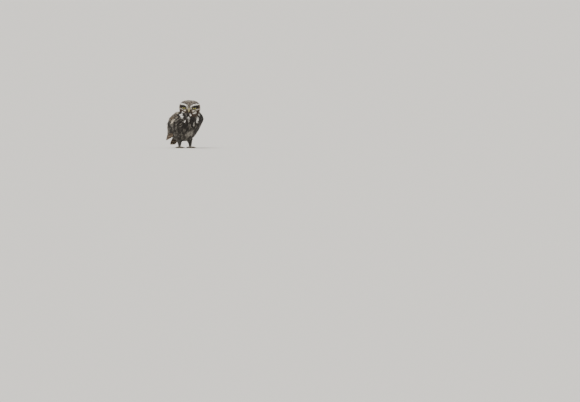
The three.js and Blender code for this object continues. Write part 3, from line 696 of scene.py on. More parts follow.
def lay(points, faces, lengths, stations, sway, heights):
    """Centrelines that run over the skin from each root down the lie of the coat, and the skin's normals."""
    lines, ups = [], []
    for station in range(stations):
        height = (heights[0] + (heights[1] - heights[0]) * (station / (stations - 1)) ** 0.8)[:, None] * MM
        normals = skin_normals[faces]
        lines.append(points + normals * height)
        ups.append(normals)
        heading = skin_lie[faces]
        heading = heading + np.cross(normals, heading) * sway[:, None]
        moved = points + unit(heading) * (lengths / (stations - 1) * MM)[:, None]
        found = [skin_tree.find_nearest(place)[::2] for place in moved.tolist()]
        points = np.array([place[:] for place, _ in found])
        faces = np.array([face for _, face in found])
    return np.stack(lines, axis=1), np.stack(ups, axis=1)


def trunk_map(points):
    """Places round and up the trunk, for the coat's baked colours."""
    side, forward, up = in_body(points).T
    turn = np.arctan2(side, forward - axis_forward(up)) / (2 * math.pi) + 0.5
    return np.clip(np.stack([turn, up / BIRD_HEIGHT], axis=1), 0.002, 0.998)


def head_map(points):
    """Places round the head's side-to-side axis, for its coat's baked colours."""
    side, forward, up = in_head(points).T
    turn = np.arctan2(up, -forward) / (2 * math.pi) + 0.5
    return np.clip(np.stack([turn, side / 90 + 0.5], axis=1), 0.002, 0.998)


def fluff_height(points):
    """How much higher the coat stands at the sides of the neck and over the rump between the wings."""
    places = in_body(points)
    left, right = (patch(places, (side, 26, 124), (14, 26, 14)) for side in (38, -40))
    return 3.5 * np.maximum(left, right) + 4 * patch(places, (0, -60, 72), (13, 16, 26))


def coat_piece(name, mask, growth, template, material, seed, slot):
    """A tract of the coat: feathers of one kind over part of the skin."""
    points, faces = scatter(mask, growth["spacing"], seed)
    random = np.random.default_rng(seed + 1)
    count = len(points)
    lengths = growth["length"] * random.uniform(0.86, 1.14, count)
    widths = growth["width"] * random.uniform(0.88, 1.12, count) * MM
    sway = random.normal(0, growth.get("sway", 0.12), count)
    low = np.full(count, growth["heights"][0])
    high = growth["heights"][1] * random.uniform(0.8, 1.15, count) + fluff_height(points)
    lines, ups = lay(points, faces, lengths, template.rows + 1, sway, (low, high))
    share = on_head[faces] * growth.get("head", False)
    ground, accent, strength = coat_marks(lines[:, template.rows * 2 // 3], share)
    ground = ground * random.normal(1, growth.get("mottle", 0.09), (count, 1)).clip(0.65, 1.35)
    if material is streaked:
        accent = np.tile(colour(STREAK_DARK), (count, 1))
    marks = (ground, accent, strength * random.uniform(*growth.get("marks", (0.7, 1.15)), count))
    roots_uv = head_map(points) if growth.get("head") else trunk_map(points)
    fray = growth.get("fray", 0.03)
    mesh = feathers(name, template, lines, ups, widths, VANE_CAMBER, fray, roots_uv, marks, seed + 2)
    add_piece(name, mesh, material, slot)


def vane_material(name, marking, fluff=0.3):
    """Feather vane: matt barbs either side of a shaft, softer and greyer towards the root."""
    material, tree, shader = material_with(
        name, {"Roughness": 0.82, "Specular IOR Level": 0.25, "Sheen Weight": 0.12, "Sheen Roughness": 0.5})
    ground = add_node(tree, "ShaderNodeAttribute", {"attribute_name": "ground"})
    accent = add_node(tree, "ShaderNodeAttribute", {"attribute_name": "accent"})
    facts = add_node(tree, "ShaderNodeAttribute", {"attribute_name": "facts"}).outputs["Vector"]
    strength, length, chance = add_node(tree, "ShaderNodeSeparateXYZ", (), [facts]).outputs
    uv = add_node(tree, "ShaderNodeUVMap", {"uv_map": "Vane"})
    across, along, _ = add_node(tree, "ShaderNodeSeparateXYZ", (), [uv]).outputs
    place = add_node(tree, "ShaderNodeTexCoord").outputs["Object"]
    wander = add_node(tree, "ShaderNodeTexNoise", (), {"Vector": place, "Scale": 420.0, "Detail": 3.0})
    centred = add_node(tree, "ShaderNodeMath", MINUS, (across, 0.5))
    from_shaft = add_node(tree, "ShaderNodeMath", {"operation": "ABSOLUTE"}, [centred])
    ragged = add_node(tree, "ShaderNodeMath", TIMES_PLUS, (wander, RAGGEDNESS, -RAGGEDNESS / 2))
    # Barbs leave the shaft slantwise every 0.7 mm, which is coarser than the real ones.
    steps = add_node(tree, "ShaderNodeMath", TIMES, (length, 2 * math.pi * FACT_LENGTH / 0.7))
    slant = add_node(tree, "ShaderNodeMath", TIMES_PLUS, (from_shaft, -0.55, along))
    swirl = add_node(tree, "ShaderNodeMath", TIMES, (wander, 5.0))
    phase = add_node(tree, "ShaderNodeMath", TIMES_PLUS, (slant, steps, swirl))
    wave = add_node(tree, "ShaderNodeMath", {"operation": "SINE"}, [phase])
    barbs = add_node(tree, "ShaderNodeMath", TIMES_PLUS, (wave, 0.5, 0.5))
    edge = add_node(tree, "ShaderNodeMath", PLUS, (from_shaft, ragged))
    vane = {"along": along, "across": across, "edge": edge, "ragged": ragged}
    vane.update(strength=strength, chance=chance)
    mask = marking(tree, vane)
    coloured = add_node(
        tree, "ShaderNodeMix", {"data_type": "RGBA"}, {"Factor": mask, "A": ground, "B": accent})
    shaft = add_node(tree, "ShaderNodeMath", {"operation": "LESS_THAN"}, (from_shaft, 0.028))
    tone = add_node(tree, "ShaderNodeMath", TIMES_PLUS, (barbs, 0.22, 0.86))
    tone = add_node(tree, "ShaderNodeMath", TIMES_PLUS, (shaft, -0.25, tone))
    root = add_node(tree, "ShaderNodeMapRange", (), {
        "Value": along, "From Min": 0.1, "From Max": 0.1 + fluff, "To Min": 0.45, "To Max": 1.0})
    tone = add_node(tree, "ShaderNodeMath", TIMES, (tone, root))
    shaded = add_node(
        tree, "ShaderNodeVectorMath", {"operation": "SCALE"}, {0: coloured.outputs["Result"], "Scale": tone})
    tree.links.new(shaded.outputs["Vector"], shader.inputs["Base Color"])
    height = add_node(tree, "ShaderNodeMath", TIMES_PLUS, (shaft, 1.5, barbs))
    bump = add_node(tree, "ShaderNodeBump", (), {"Height": height, "Strength": 0.5, "Distance": 0.15 * MM})
    tree.links.new(bump.outputs["Normal"], shader.inputs["Normal"])
    return material


def streak(tree, vane):
    """A dark streak down the middle of the vane, wide at its base, that leaves a pale border."""
    taper = add_node(tree, "ShaderNodeMath", TIMES_PLUS, (vane["along"], -0.2, 0.5))
    width = add_node(tree, "ShaderNodeMath", TIMES, (vane["strength"], taper))
    within = add_node(tree, "ShaderNodeMath", MINUS, (width, vane["edge"]))
    return add_node(tree, "ShaderNodeMath", TIMES_CLAMPED, (within, 5.0))


def drops(tree, vane):
    """A pale ragged drop near the tip, nearer one web than the other and larger on some feathers."""
    chance, ragged = vane["chance"], vane["ragged"]
    middle = add_node(tree, "ShaderNodeMath", TIMES_PLUS, (chance, -0.44, -0.28))
    wide = add_node(tree, "ShaderNodeMath", PLUS, (vane["across"], middle))
    wide = add_node(tree, "ShaderNodeMath", PLUS, (wide, ragged))
    high = add_node(tree, "ShaderNodeMath", TIMES_PLUS, (chance, 0.14, -0.86))
    high = add_node(tree, "ShaderNodeMath", PLUS, (vane["along"], high))
    high = add_node(tree, "ShaderNodeMath", TIMES_PLUS, (ragged, 0.6, high))
    away = add_node(tree, "ShaderNodeCombineXYZ", (), (wide, high))
    away = add_node(tree, "ShaderNodeVectorMath", {"operation": "DIVIDE"}, (away, (0.26, 0.17, 1)))
    reach = add_node(tree, "ShaderNodeVectorMath", {"operation": "LENGTH"}, [away]).outputs["Value"]
    size = add_node(tree, "ShaderNodeMath", TIMES_PLUS, (chance, 0.75, 0.45))
    size = add_node(tree, "ShaderNodeMath", TIMES, (vane["strength"], size))
    within = add_node(tree, "ShaderNodeMath", MINUS, (size, reach))
    return add_node(tree, "ShaderNodeMath", TIMES_CLAMPED, (within, 3.2))


def plain(tree, vane):
    """No mark beyond a faint paling at the tip."""
    tip = add_node(tree, "ShaderNodeMath", MINUS, (vane["along"], 0.8))
    return add_node(tree, "ShaderNodeMath", TIMES_CLAMPED, (tip, vane["strength"]))


ROUND_TIP = ([0, 0.14, 0.4, 0.72, 0.9, 1], [0.3, 0.62, 1, 0.96, 0.7, 0.34])
body_template = Template(6, 4, ROUND_TIP, 0.1)
small_template = Template(5, 2, ROUND_TIP, 0.12)
hair_template = Template(5, 2, ([0, 0.2, 0.6, 1], [0.7, 1, 0.8, 0.16]), 0.0)

streaked = vane_material("streaked vane", streak)
spotted = vane_material("spotted vane", drops)
plain_vane = vane_material("soft plain vane", plain)

wing_trees = [tree_of("wing_left"), tree_of("wing_right")]
bill_trees = [tree_of("bill_upper"), tree_of("bill_lower")]
eye_centres = [middle_of("eye_left"), middle_of("eye_right")]
UNDER_WING = 12 * MM


def under_wing(face):
    start = Vector(skin_centres[face])
    out = Vector(skin_normals[face])
    return any(tree.ray_cast(start, out, UNDER_WING)[0] for tree in wing_trees)


bare = np.array([under_wing(face) for face in range(len(skin_faces))])
head_mask = on_head > 0.5
leg_mask = (on_leg > 0.5) & (body_places[:, 2] < 33)
for centre in eye_centres:
    bare |= np.linalg.norm(skin_centres - np.array(centre), axis=1) < 8.9 * MM
near_bill = np.minimum.reduce([distances(bill, skin_centres[head_mask]) for bill in bill_trees])
bare[np.flatnonzero(head_mask)[near_bill < 0.9 * MM]] = True
bare |= body_places[:, 2] < 7.5
body_mask = ~head_mask & ~leg_mask & ~bare
facing = head_places[:, 1] > 8
above_brow = head_places[:, 2] - np.interp(np.abs(head_places[:, 0]), *BROW_LINE)
disc_mask = head_mask & facing & (from_eye < 21) & (above_brow < 0.6) & ~bare
by_bill = (np.abs(head_places[:, 0]) < 12) & (np.abs(head_places[:, 2] + 5) < 13)
disc_mask |= head_mask & facing & by_bill & ~bare
chin_mask = head_mask & ~disc_mask & ~bare & (head_places[:, 2] < 0) & (head_places[:, 1] > 2)
crown_mask = head_mask & ~disc_mask & ~chin_mask & ~bare
nape_mask = crown_mask & (head_places[:, 1] < 0) & (head_places[:, 2] < 16)
crown_mask &= ~nape_mask
under_mask = body_mask & ((np.abs(round_body) < 106) | (body_places[:, 2] < 50))
neck_mask = under_mask & (body_places[:, 2] > 112)
breast_mask = under_mask & (body_places[:, 2] <= 112) & (body_places[:, 2] > 72)
thigh_mask = under_mask & (body_places[:, 2] <= 42)
belly_mask = under_mask & (body_places[:, 2] <= 72) & ~thigh_mask
back_mask = body_mask & ~under_mask

# Name, where on the skin, spacing, length and width in millimetres, height at root and tip, and what differs.
TRACTS = (
    ("belly_coat", belly_mask, 3.8, 16, 8, (0.3, 4.0), {"fray": 0.06, "mottle": 0.17}),
    ("thigh_coat", thigh_mask, 2.6, 9, 4.6, (0.2, 2.6), {"fray": 0.07, "mottle": 0.16}),
    ("breast_coat", breast_mask, 3.5, 15, 7.4, (0.3, 4.0), {"fray": 0.05, "mottle": 0.17}),
    ("back_coat", back_mask, 3.7, 16, 9, (0.3, 3.9), {"marks": (0.1, 1.2)}),
    ("neck_coat", neck_mask, 2.3, 10.5, 4.2, (0.3, 4.2), {"fray": 0.07, "mottle": 0.17}),
    ("nape_coat", nape_mask, 2.5, 9, 4.8, (0.2, 2.8), {"head": True, "marks": (0.15, 1.1)}),
    ("crown_coat", crown_mask, 1.8, 6.2, 3.0, (0.2, 2.3),
        {"head": True, "marks": (0.45, 1.3), "mottle": 0.15}),
    ("chin_coat", chin_mask, 1.7, 8, 2.5, (0.2, 2.9), {"head": True}),
    ("disc_coat", disc_mask, 1.1, 6, 1.05, (0.2, 2.9), {"head": True}),
    ("leg_coat", leg_mask & ~bare, 1.2, 6, 1.4, (0.2, 2.6), {"fray": 0.05, "mottle": 0.14}),
)
VANES = {
    "belly_coat": (body_template, streaked, 11),
    "thigh_coat": (body_template, streaked, 15),
    "breast_coat": (body_template, streaked, 21),
    "back_coat": (body_template, spotted, 31),
    "neck_coat": (body_template, streaked, 41),
    "nape_coat": (small_template, spotted, 51),
    "crown_coat": (small_template, spotted, 61),
    "chin_coat": (small_template, plain_vane, 81),
    "disc_coat": (hair_template, plain_vane, 91),
    "leg_coat": (hair_template, plain_vane, 101),
}
for name, mask, spacing, length, width, heights, others in TRACTS:
    growth = {"spacing": spacing, "length": length, "width": width, "heights": heights, **others}
    coat_piece(name, mask, growth, *VANES[name], "leg_feathers" if name == "leg_coat" else "plumage")


# Wings
# Each folded wing lies along the flank as tiers of stiff feathers over a thin blade of flesh and down.
# Every feather runs between two places on the wing's curved face, and each tier lies over the one below it.
WING_DORSAL = [[21, -17, 130], [27, -45, 105], [16, -61.5, 80], [12, -65, 55], [20, -77, 30]]
WING_RIDGE = [[42, 0, 131], [57, -16, 107], [54, -35, 84], [39, -53, 56], [28, -76.5, 27]]
WING_LEADING = [[48, 40, 123], [56, 38, 106], [53, 19, 80], [43.5, -12, 55], [32, -70, 26]]
FLIGHT_UMBER = "40342A"
FLIGHT_RUFOUS = "55412F"
BAR_BUFF = "AFA188"
# Each tier: kind and count, then for its first and last feather the root and the tip as shares of the wing's
# length and breadth and the width, and last how far roots and tips stand off the wing's face.
WING_TIERS = (
    # Primaries, secondaries, tertials and alula.
    ("flight", 11, ((0.5, 0.06), (0.36, 0.93)), ((1.02, 0.1), (0.97, 0.98)), (13, 9.5), (-0.7, 0.2)),
    ("flight", 11, ((0.38, 0.08), (0.42, 0.8)), ((0.78, 0.06), (0.8, 0.92)), (12.5, 10.5), (-0.6, 1.0)),
    ("flight", 3, ((0.2, 0.0), (0.26, 0.1)), ((0.57, 0.03), (0.68, 0.14)), (12.5, 11.5), (-0.3, 2.1)),
    ("flight", 3, ((0.3, 0.9), (0.3, 0.97)), ((0.52, 0.88), (0.47, 0.99)), (7.5, 6), (-0.2, 1.7)),
    # Greater and median coverts and three rows of lesser ones.
    ("covert", 11, ((0.2, 0.12), (0.22, 0.94)), ((0.46, 0.16), (0.5, 0.97)), (10.5, 8.5), (-0.5, 1.8)),
    ("covert", 11, ((0.1, 0.18), (0.13, 0.94)), ((0.32, 0.18), (0.36, 0.97)), (9.5, 8), (-0.4, 2.2)),
    ("covert", 12, ((0.05, 0.2), (0.06, 0.95)), ((0.23, 0.18), (0.26, 0.98)), (8.5, 7), (-0.3, 2.3)),
    ("covert", 12, ((-0.01, 0.22), (-0.01, 0.96)), ((0.16, 0.2), (0.18, 0.98)), (7.5, 6.5), (-0.3, 2.3)),
    ("covert", 12, ((-0.06, 0.22), (-0.07, 0.96)), ((0.09, 0.2), (0.1, 0.98)), (7, 6), (-0.3, 2.2)),
    # Long, middle and short scapulars.
    ("covert", 8, ((0.06, 0.2), (0.36, 0.0)), ((0.26, 0.24), (0.56, 0.02)), (9.5, 9.5), (-0.2, 3.0)),
    ("covert", 8, ((-0.0, 0.16), (0.26, -0.02)), ((0.17, 0.2), (0.44, 0.0)), (9, 9), (-0.1, 3.4)),
    ("covert", 8, ((-0.07, 0.12), (0.16, -0.04)), ((0.1, 0.15), (0.33, -0.02)), (8.5, 8.5), (0.0, 3.7)),
)
# One covert of the right wing is out of place and stands off its edge.
STRAY_FEATHER = ("covert", 1, ((0.28, 0.22),) * 2, ((0.5, 0.3),) * 2, (7, 7), (-0.4, 4.5))
OVER_BACK = 40  # how far a whole share of breadth reaches in over the back, past the wing's dorsal edge
BARS_PER_FEATHER = 6.5
SIDES = ((1, "left"), (-1, "right"))
WING_ROLL = 0.13  # each feather's leading edge stands this much proud of its neighbour


def smooth_line(places, shares):
    """Places along a centripetal curve through given ones, carried straight on past its ends."""
    places = np.asarray(places, float)
    places = np.concatenate([[2 * places[0] - places[1]], places, [2 * places[-1] - places[-2]]])
    spot = np.clip(shares, 0, 1) * (len(places) - 3)
    start = np.minimum(spot.astype(int), len(places) - 4)
    share = (spot - start)[..., None]
    before, here, there, after = (places[start + step] for step in range(4))
    first, second, third = (
        np.sqrt(np.linalg.norm(far - near, axis=-1, keepdims=True))
        for near, far in ((before, here), (here, there), (there, after))
    )
    leave = (here - before) / first - (there - before) / (first + second) + (there - here) / second
    arrive = (there - here) / second - (after - here) / (second + third) + (after - there) / third
    leave, arrive = leave * second, arrive * second
    bend = (2 * here - 2 * there + leave + arrive) * share + 3 * (there - here) - 2 * leave - arrive
    return here + share * (leave + share * bend)


def wing_face(side, u, v):
    """Frame points on the curved outer face of one wing, at shares of its length and breadth."""
    lines = []
    for line in (WING_DORSAL, WING_RIDGE, WING_LEADING):
        places = np.array(line, float) * (side, 1, 1)
        at = smooth_line(places, u)
        inwards = unit(np.array([0, 26, 128]) - at) * 105 + np.array([0, 0, 42])
        lines.append(at - inwards * np.minimum(u, 0)[..., None])
    dorsal, ridge, leading = lines
    v = np.asarray(v)[..., None]
    over_back = np.minimum(v, 0) * (side * OVER_BACK, 0, 0)
    v = np.maximum(v, 0)
    bend = 2 * ridge - 0.5 * dorsal - 0.5 * leading
    return from_body((1 - v) ** 2 * dorsal + 2 * v * (1 - v) * bend + v**2 * leading + over_back)


def wing_outward(side, u, v):
    along = wing_face(side, u + 0.01, v) - wing_face(side, u - 0.01, v)
    across = wing_face(side, u, v + 0.01) - wing_face(side, u, v - 0.01)
    return unit(np.cross(along, across)) * -side


def wing_feathers(side, tiers, stations):
    """Centrelines, outward directions and widths of all the feathers of some tiers of one wing."""
    lines, ups, widths = [], [], []
    shares = np.linspace(0, 1, stations)
    for _, count, roots, tips, breadths, lifts in tiers:
        for spread in np.linspace(0, 1, count):
            root = np.array(roots[0]) * (1 - spread) + np.array(roots[1]) * spread
            tip = np.array(tips[0]) * (1 - spread) + np.array(tips[1]) * spread
            lift = lifts[0] + (lifts[1] - lifts[0]) * shares - 0.35 * spread * shares
            u, v = root[:, None] * (1 - shares) + tip[:, None] * shares
            out = wing_outward(side, u, v)
            lines.append(wing_face(side, u, v) + out * lift[:, None] * MM)
            ups.append(out)
            widths.append(breadths[0] * (1 - spread) + breadths[1] * spread)
    lines, ups = np.array(lines), np.array(ups)
    aside = unit(np.cross(unit(np.gradient(lines, axis=1)), ups))
    return lines, unit(ups - side * WING_ROLL * aside), np.array(widths) * MM


def atlas(count):
    """One cell of a square map for each feather: its corner and its size."""
    across = math.ceil(math.sqrt(count * 2.5))
    down = math.ceil(count / across)
    column, row = np.arange(count) % across, np.arange(count) // across
    size = np.tile([0.92 / across, 0.92 / down], (count, 1))
    return np.stack([np.stack([(column + 0.04) / across, (row + 0.04) / down], axis=1), size], axis=1)


def bars(tree, vane):
    """Pale bars across both webs of a flight feather, broken at the shaft."""
    chance = add_node(tree, "ShaderNodeMath", TIMES, (vane["chance"], 1.2))
    beat = add_node(tree, "ShaderNodeMath", TIMES_PLUS, (vane["edge"], 3.0, chance))
    turns = 2 * math.pi * BARS_PER_FEATHER
    beat = add_node(tree, "ShaderNodeMath", TIMES_PLUS, (vane["along"], turns, beat))
    wave = add_node(tree, "ShaderNodeMath", {"operation": "SINE"}, [beat])
    band = add_node(tree, "ShaderNodeMath", MINUS, (wave, 0.5))
    band = add_node(tree, "ShaderNodeMath", TIMES_CLAMPED, (band, 4.0))
    web = add_node(tree, "ShaderNodeMath", MINUS, (vane["edge"], 0.1))
    web = add_node(tree, "ShaderNodeMath", TIMES_CLAMPED, (web, 8.0))
    bar = add_node(tree, "ShaderNodeMath", TIMES, (band, web))
    return add_node(tree, "ShaderNodeMath", TIMES, (bar, vane["strength"]))


FLIGHT_TIP = ([0, 0.08, 0.3, 0.7, 0.9, 0.97, 1], [0.25, 0.7, 0.95, 1, 0.8, 0.52, 0.3])
flight_template = Template(16, 6, FLIGHT_TIP, 0.05)
covert_template = Template(9, 4, ROUND_TIP, 0.09)
barred = vane_material("barred flight vane", bars, 0.12)
for side, word in SIDES:
    random = np.random.default_rng(200 + side)
    rows = np.linspace(-0.02, 0.86, 23)
    columns = np.linspace(0, 1, 13)
    u, v = np.meshgrid(rows, columns, indexing="ij")
    out = wing_outward(side, u, v)
    outer_face = wing_face(side, u, v) - out * 1.0 * MM
    deep = np.interp(u, [0, 0.6], [9, 1.4]) * np.sin(np.clip(v, 0.03, 0.97) * math.pi) ** 0.5
    inner_face = outer_face - out * deep[..., None] * MM
    ring = np.concatenate([outer_face, inner_face[:, ::-1]], axis=1)
    corners = ring.reshape(-1, 3)
    index = np.arange(len(corners)).reshape(ring.shape[:2])
    nextward = np.roll(index, -1, 1)
    blade_faces = np.stack([index[:-1], nextward[:-1], nextward[1:], index[1:]], axis=-1)
    blade_faces = blade_faces.reshape(-1, 4)[:, ::-side].tolist()
    blade_faces += [index[0][::side].tolist(), index[-1][::-side].tolist()]
    blade_mesh = bpy.data.meshes.new(f"wing_{word}_blade")
    blade_mesh.from_pydata(corners.tolist(), [], blade_faces)
    paint(blade_mesh, "ground", np.tile(colour(FLIGHT_UMBER), (len(corners), 1)))
    add_piece(f"wing_{word}_blade", blade_mesh, down, "flight_feathers", f"wing_{word}")
    for kind, template, material, strength in (
        ("flight", flight_template, barred, 0.65), ("covert", covert_template, spotted, 0.9)
    ):
        tiers = [tier for tier in WING_TIERS if tier[0] == kind]
        if kind == "covert" and word == "right":
            tiers.append(STRAY_FEATHER)
        lines, ups, widths = wing_feathers(side, tiers, template.rows + 1)
        count = len(lines)
        ground = np.tile(colour(FLIGHT_UMBER if kind == "flight" else MANTLE_BROWN), (count, 1))
        ground = blended(ground, FLIGHT_RUFOUS, random.uniform(0, 0.7, count) * (kind == "flight") + 0.15)
        ground = ground * random.normal(1, 0.07 if kind == "flight" else 0.2, (count, 1)).clip(0.6, 1.5)
        white = scapular_white(in_body(lines[:, -3])) * (kind == "covert")
        ground = blended(ground, SPOT_WHITE, 0.9 * white)
        accent = np.tile(colour(BAR_BUFF if kind == "flight" else SPOT_WHITE), (count, 1))
        shown = np.where(random.random(count) < 0.3, 0.15, 1.0) if kind == "covert" else 1.0
        marks = (ground, accent, strength * random.uniform(0.5, 1.1, count) * shown)
        name = f"wing_{word}_{kind}s"
        mesh = feathers(name, template, lines, ups, widths, 0.16, 0.004, atlas(count), marks, 300 + side)
        add_piece(name, mesh, material, "flight_feathers")


# Shoulders and flanks
# Small feathers of the shoulder cover the wing's root, and long loose ones of the body's side fluff out over
# the folded wing's front edge and hide it. The flank feathers lie furthest back on the bird's right side.
FRONT_EDGE = (1.0, 1.13)  # shares of the wing's breadth between which they pass from the wing to the breast
FRONT_HEIGHT = 3.2
COVER_STEP = 0.028  # share of the wing's length between one row of roots and the next
SHOULDER = {"length": 0.1, "width": 6.0, "rise": 2.0}
MANTLE_EDGE = {"length": 0.12, "width": 7.5, "rise": 2.6}
FLANK = {"length": 0.12, "width": 5.6, "rise": 3.8}
FLANK_SIDE = {
    "left": {"back": 0.87, "front": 1.06, "rise": 0.6, "end": 0.84},
    "right": {"back": 0.6, "front": 1.17, "rise": 1.0, "end": 0.92},
}


def cover_roots(first, last, back, front, random):
    """Places spread over part of a wing, jittered, in shares of its length and breadth."""
    u, v = np.meshgrid(np.arange(first, last, COVER_STEP), np.arange(back, front, COVER_STEP * 1.6))
    u = u + random.uniform(-0.5, 0.5, u.shape) * COVER_STEP
    v = v + random.uniform(-0.7, 0.7, v.shape) * COVER_STEP
    return u.ravel(), v.ravel()


def wing_cover(name, side, u, v, sweep, lift, size, marks, material, seed):
    """Body feathers rooted on or beside a folded wing, which run down over its face."""
    random = np.random.default_rng(seed)
    count = len(u)
    shares = np.linspace(0, 1, body_template.rows + 1)
    reach = size["length"] * random.uniform(0.85, 1.15, count)
    height = lift[:, None] + size["rise"] * random.uniform(0.8, 1.2, count)[:, None] * shares**0.8
    along, across = u[:, None] + reach[:, None] * shares, v[:, None] + sweep[:, None] * shares
    ups = wing_outward(side, along, across)
    lines = wing_face(side, along, across) + ups * height[..., None] * MM
    # Past the wing's front edge the feathers lie down on the breast instead.
    ahead = np.flatnonzero((across > FRONT_EDGE[0]).any(axis=1))
    nearest = [skin_tree.find_nearest(place)[:2] for place in lines[ahead].reshape(-1, 3).tolist()]
    nearest = np.array([[point[:], normal[:]] for point, normal in nearest])
    points, normals = nearest.reshape(-1, len(shares), 2, 3).transpose(2, 0, 1, 3)
    points = points + normals * FRONT_HEIGHT * (0.4 + shares[:, None]) * MM
    hug = fade(*FRONT_EDGE, across[ahead])[..., None]
    lines[ahead] += hug * (points - lines[ahead])
    ups[ahead] = unit(ups[ahead] + hug * (normals - ups[ahead]))
    ground, accent, strength = marks(lines[:, 4])
    ground = ground * random.normal(1, 0.09, (count, 1))
    widths = size["width"] * random.uniform(0.85, 1.15, count) * MM
    marks_now = (ground, accent, strength * random.uniform(0.2, 1.15, count))
    roots = trunk_map(lines[:, 0])
    mesh = feathers(name, body_template, lines, ups, widths, VANE_CAMBER, 0.06, roots, marks_now, seed + 1)
    add_piece(name, mesh, material, "plumage")


for side, word in SIDES:
    random = np.random.default_rng(360 + side)
    flank = FLANK_SIDE[word]
    u, v = cover_roots(-0.13, 0.16, 0.0, 0.88, random)
    grown = random.random(len(u)) < fade(0.17, -0.03, u) + 0.1
    u, v = u[grown], v[grown]
    wing_cover(f"shoulder_{word}_coat", side, u, v, np.full(len(u), -0.01), 8 * (u + 0.14) - 0.8, SHOULDER,
        lambda points: body_marks(points, np.zeros(len(points))), spotted, 370 + side)
    u, v = cover_roots(-0.1, 0.6, -0.4, 0.05, random)
    grown = v > np.interp(u, [0.1, 0.3, 0.45], [-0.16, -0.4, -0.3])
    u, v = u[grown], v[grown]
    wing_cover(f"mantle_edge_{word}_coat", side, u, v, np.full(len(u), 0.02), np.full(len(u), -0.5),
        MANTLE_EDGE, lambda points: body_marks(points, np.zeros(len(points))), spotted, 375 + side)
    u, v = cover_roots(-0.12, flank["end"], flank["back"], flank["front"], random)
    edge = np.interp(u, [-0.12, 0.2, 0.42, 0.62, 0.66, 0.84], [0.84, 0.88, 0, 0, 0.88, 0.88])
    grown = v > np.maximum(edge, flank["back"])
    u, v = u[grown], v[grown]
    sweep = np.interp(u, [0.0, 0.3, 0.45, 0.64, 0.74, 0.94], [-0.06, -0.08, 0.0, 0.1, 0.36, 0.5])
    size = {**FLANK, "rise": FLANK["rise"] * flank["rise"]}
    wing_cover(f"flank_{word}_coat", side, u, v, sweep, np.full(len(u), -0.8), size,
        lambda points: body_marks(points, np.ones(len(points))), streaked, 380 + side)


# Tail
# Twelve stiff feathers closed into a narrow fan, the middle pair on top, with soft coverts above and below.
# They spring from the rump under the wing tips and point down and back.
TAIL_ROOT = (0, -46, 60)
TAIL_TIP = (0, -77, 11.5)


def tail_place(u, v, lift):
    """Frame points on the tail, at a share of its length, millimetres to the side and above its face."""
    root, tip = np.array(TAIL_ROOT, float), np.array(TAIL_TIP, float)
    along = tip - root
    upwards = unit(np.cross(along, [1.0, 0, 0]))
    upwards = upwards * np.sign(-upwards[1])
    shape = root + along * u[..., None] + np.array([1.0, 0, 0]) * v[..., None] + upwards * lift[..., None]
    arch = -0.012 * v**2
    return from_body(shape + upwards * arch[..., None]), unit(upwards * (1, -1, 1))


def tail_feathers(count, root_u, tip_u, half_widths, lift, stations, fall):
    """Centrelines of a row of feathers across the tail, each lying under its inner neighbour."""
    lines, ups = [], []
    shares = np.linspace(0, 1, stations)
    for index in range(count):
        spread = 2 * index / (count - 1) - 1
        u = root_u + (tip_u - root_u - 0.06 * spread**2) * shares
        v = spread * (half_widths[0] + (half_widths[1] - half_widths[0]) * shares)
        height = lift[0] + (lift[1] - lift[0]) * shares - fall * abs(spread) * count / 2 + 0.1 * (index % 2)
        points, up = tail_place(u, v, height)
        tilt = -0.06 * np.sign(spread)
        lines.append(points)
        ups.append(np.tile(unit(up + np.array([tilt, 0, 0])), (stations, 1)))
    return np.array(lines), np.array(ups)


# Looks: template, material, ground, accent and strength of the marks.
flight_looks = (flight_template, barred, FLIGHT_UMBER, BAR_BUFF, 0.9)
upper_looks = (covert_template, spotted, MANTLE_BROWN, SPOT_WHITE, 0.8)
under_looks = (covert_template, streaked, BELLY_BROWN_WITH_PAINTED_SHADE, STREAK_DARK, 0.5)
# Rows: name and count; at root and tip the share of the tail's length, half the row's width and the height
# over the tail; how much lower each feather lies than its inner neighbour; the width of one, and its looks.
TAIL_ROWS = (
    ("tail_feathers", 12, (0.05, 1.0), (6, 11.5), (0, 0), 0.42, 11.5, flight_looks),
    ("tail_coverts_long", 8, (0.0, 0.42), (9, 12), (0.6, 2.0), 0.1, 9, upper_looks),
    ("tail_coverts_short", 8, (-0.15, 0.3), (10, 13), (1.6, 3.2), 0.1, 9, upper_looks),
    ("vent_coverts_long", 8, (0.05, 0.66), (9, 8), (-5, -4.2), -0.1, 7, under_looks),
    ("vent_coverts_short", 8, (0.05, 0.5), (12, 10), (-8, -6.2), -0.2, 7, under_looks),
)
random = np.random.default_rng(400)
for name, count, reach, half_widths, lift, fall, width, looks in TAIL_ROWS:
    template, material, ground, accent, strength = looks
    lines, ups = tail_feathers(count, *reach, half_widths, lift, template.rows + 1, fall)
    if looks is under_looks:
        ups = -ups
    ground = np.tile(colour(ground), (count, 1)) * random.normal(1, 0.07, (count, 1))
    accent = np.tile(colour(accent), (count, 1))
    marks = (ground, accent, strength * random.uniform(0.85, 1.1, count))
    widths = np.full(count, width * MM)
    mesh = feathers(name, template, lines, ups, widths, 0.12, 0.004, atlas(count), marks, 410)
    if name == "tail_feathers":
        add_piece(name, mesh, material, "flight_feathers", "tail")
    else:
        add_piece(name, mesh, material, "plumage")


# Eyes
# Large fixed eyes that look forwards, each a wet ball with a yellow iris round a wide black pupil.
# The iris is drawn on the ball itself, in a clear hard coat, and dark lids grip the ball all round.
EYE_RADIUS = 8.6
EYE_TURN = math.radians(14)
PUPIL_RADIUS = 3.0
IRIS_RADIUS = 6.3
LID_HALF_WIDTH = 6.7
LID_TOP = 0.4
LID_BOTTOM = 5.2
LID_EDGE = math.radians(84)
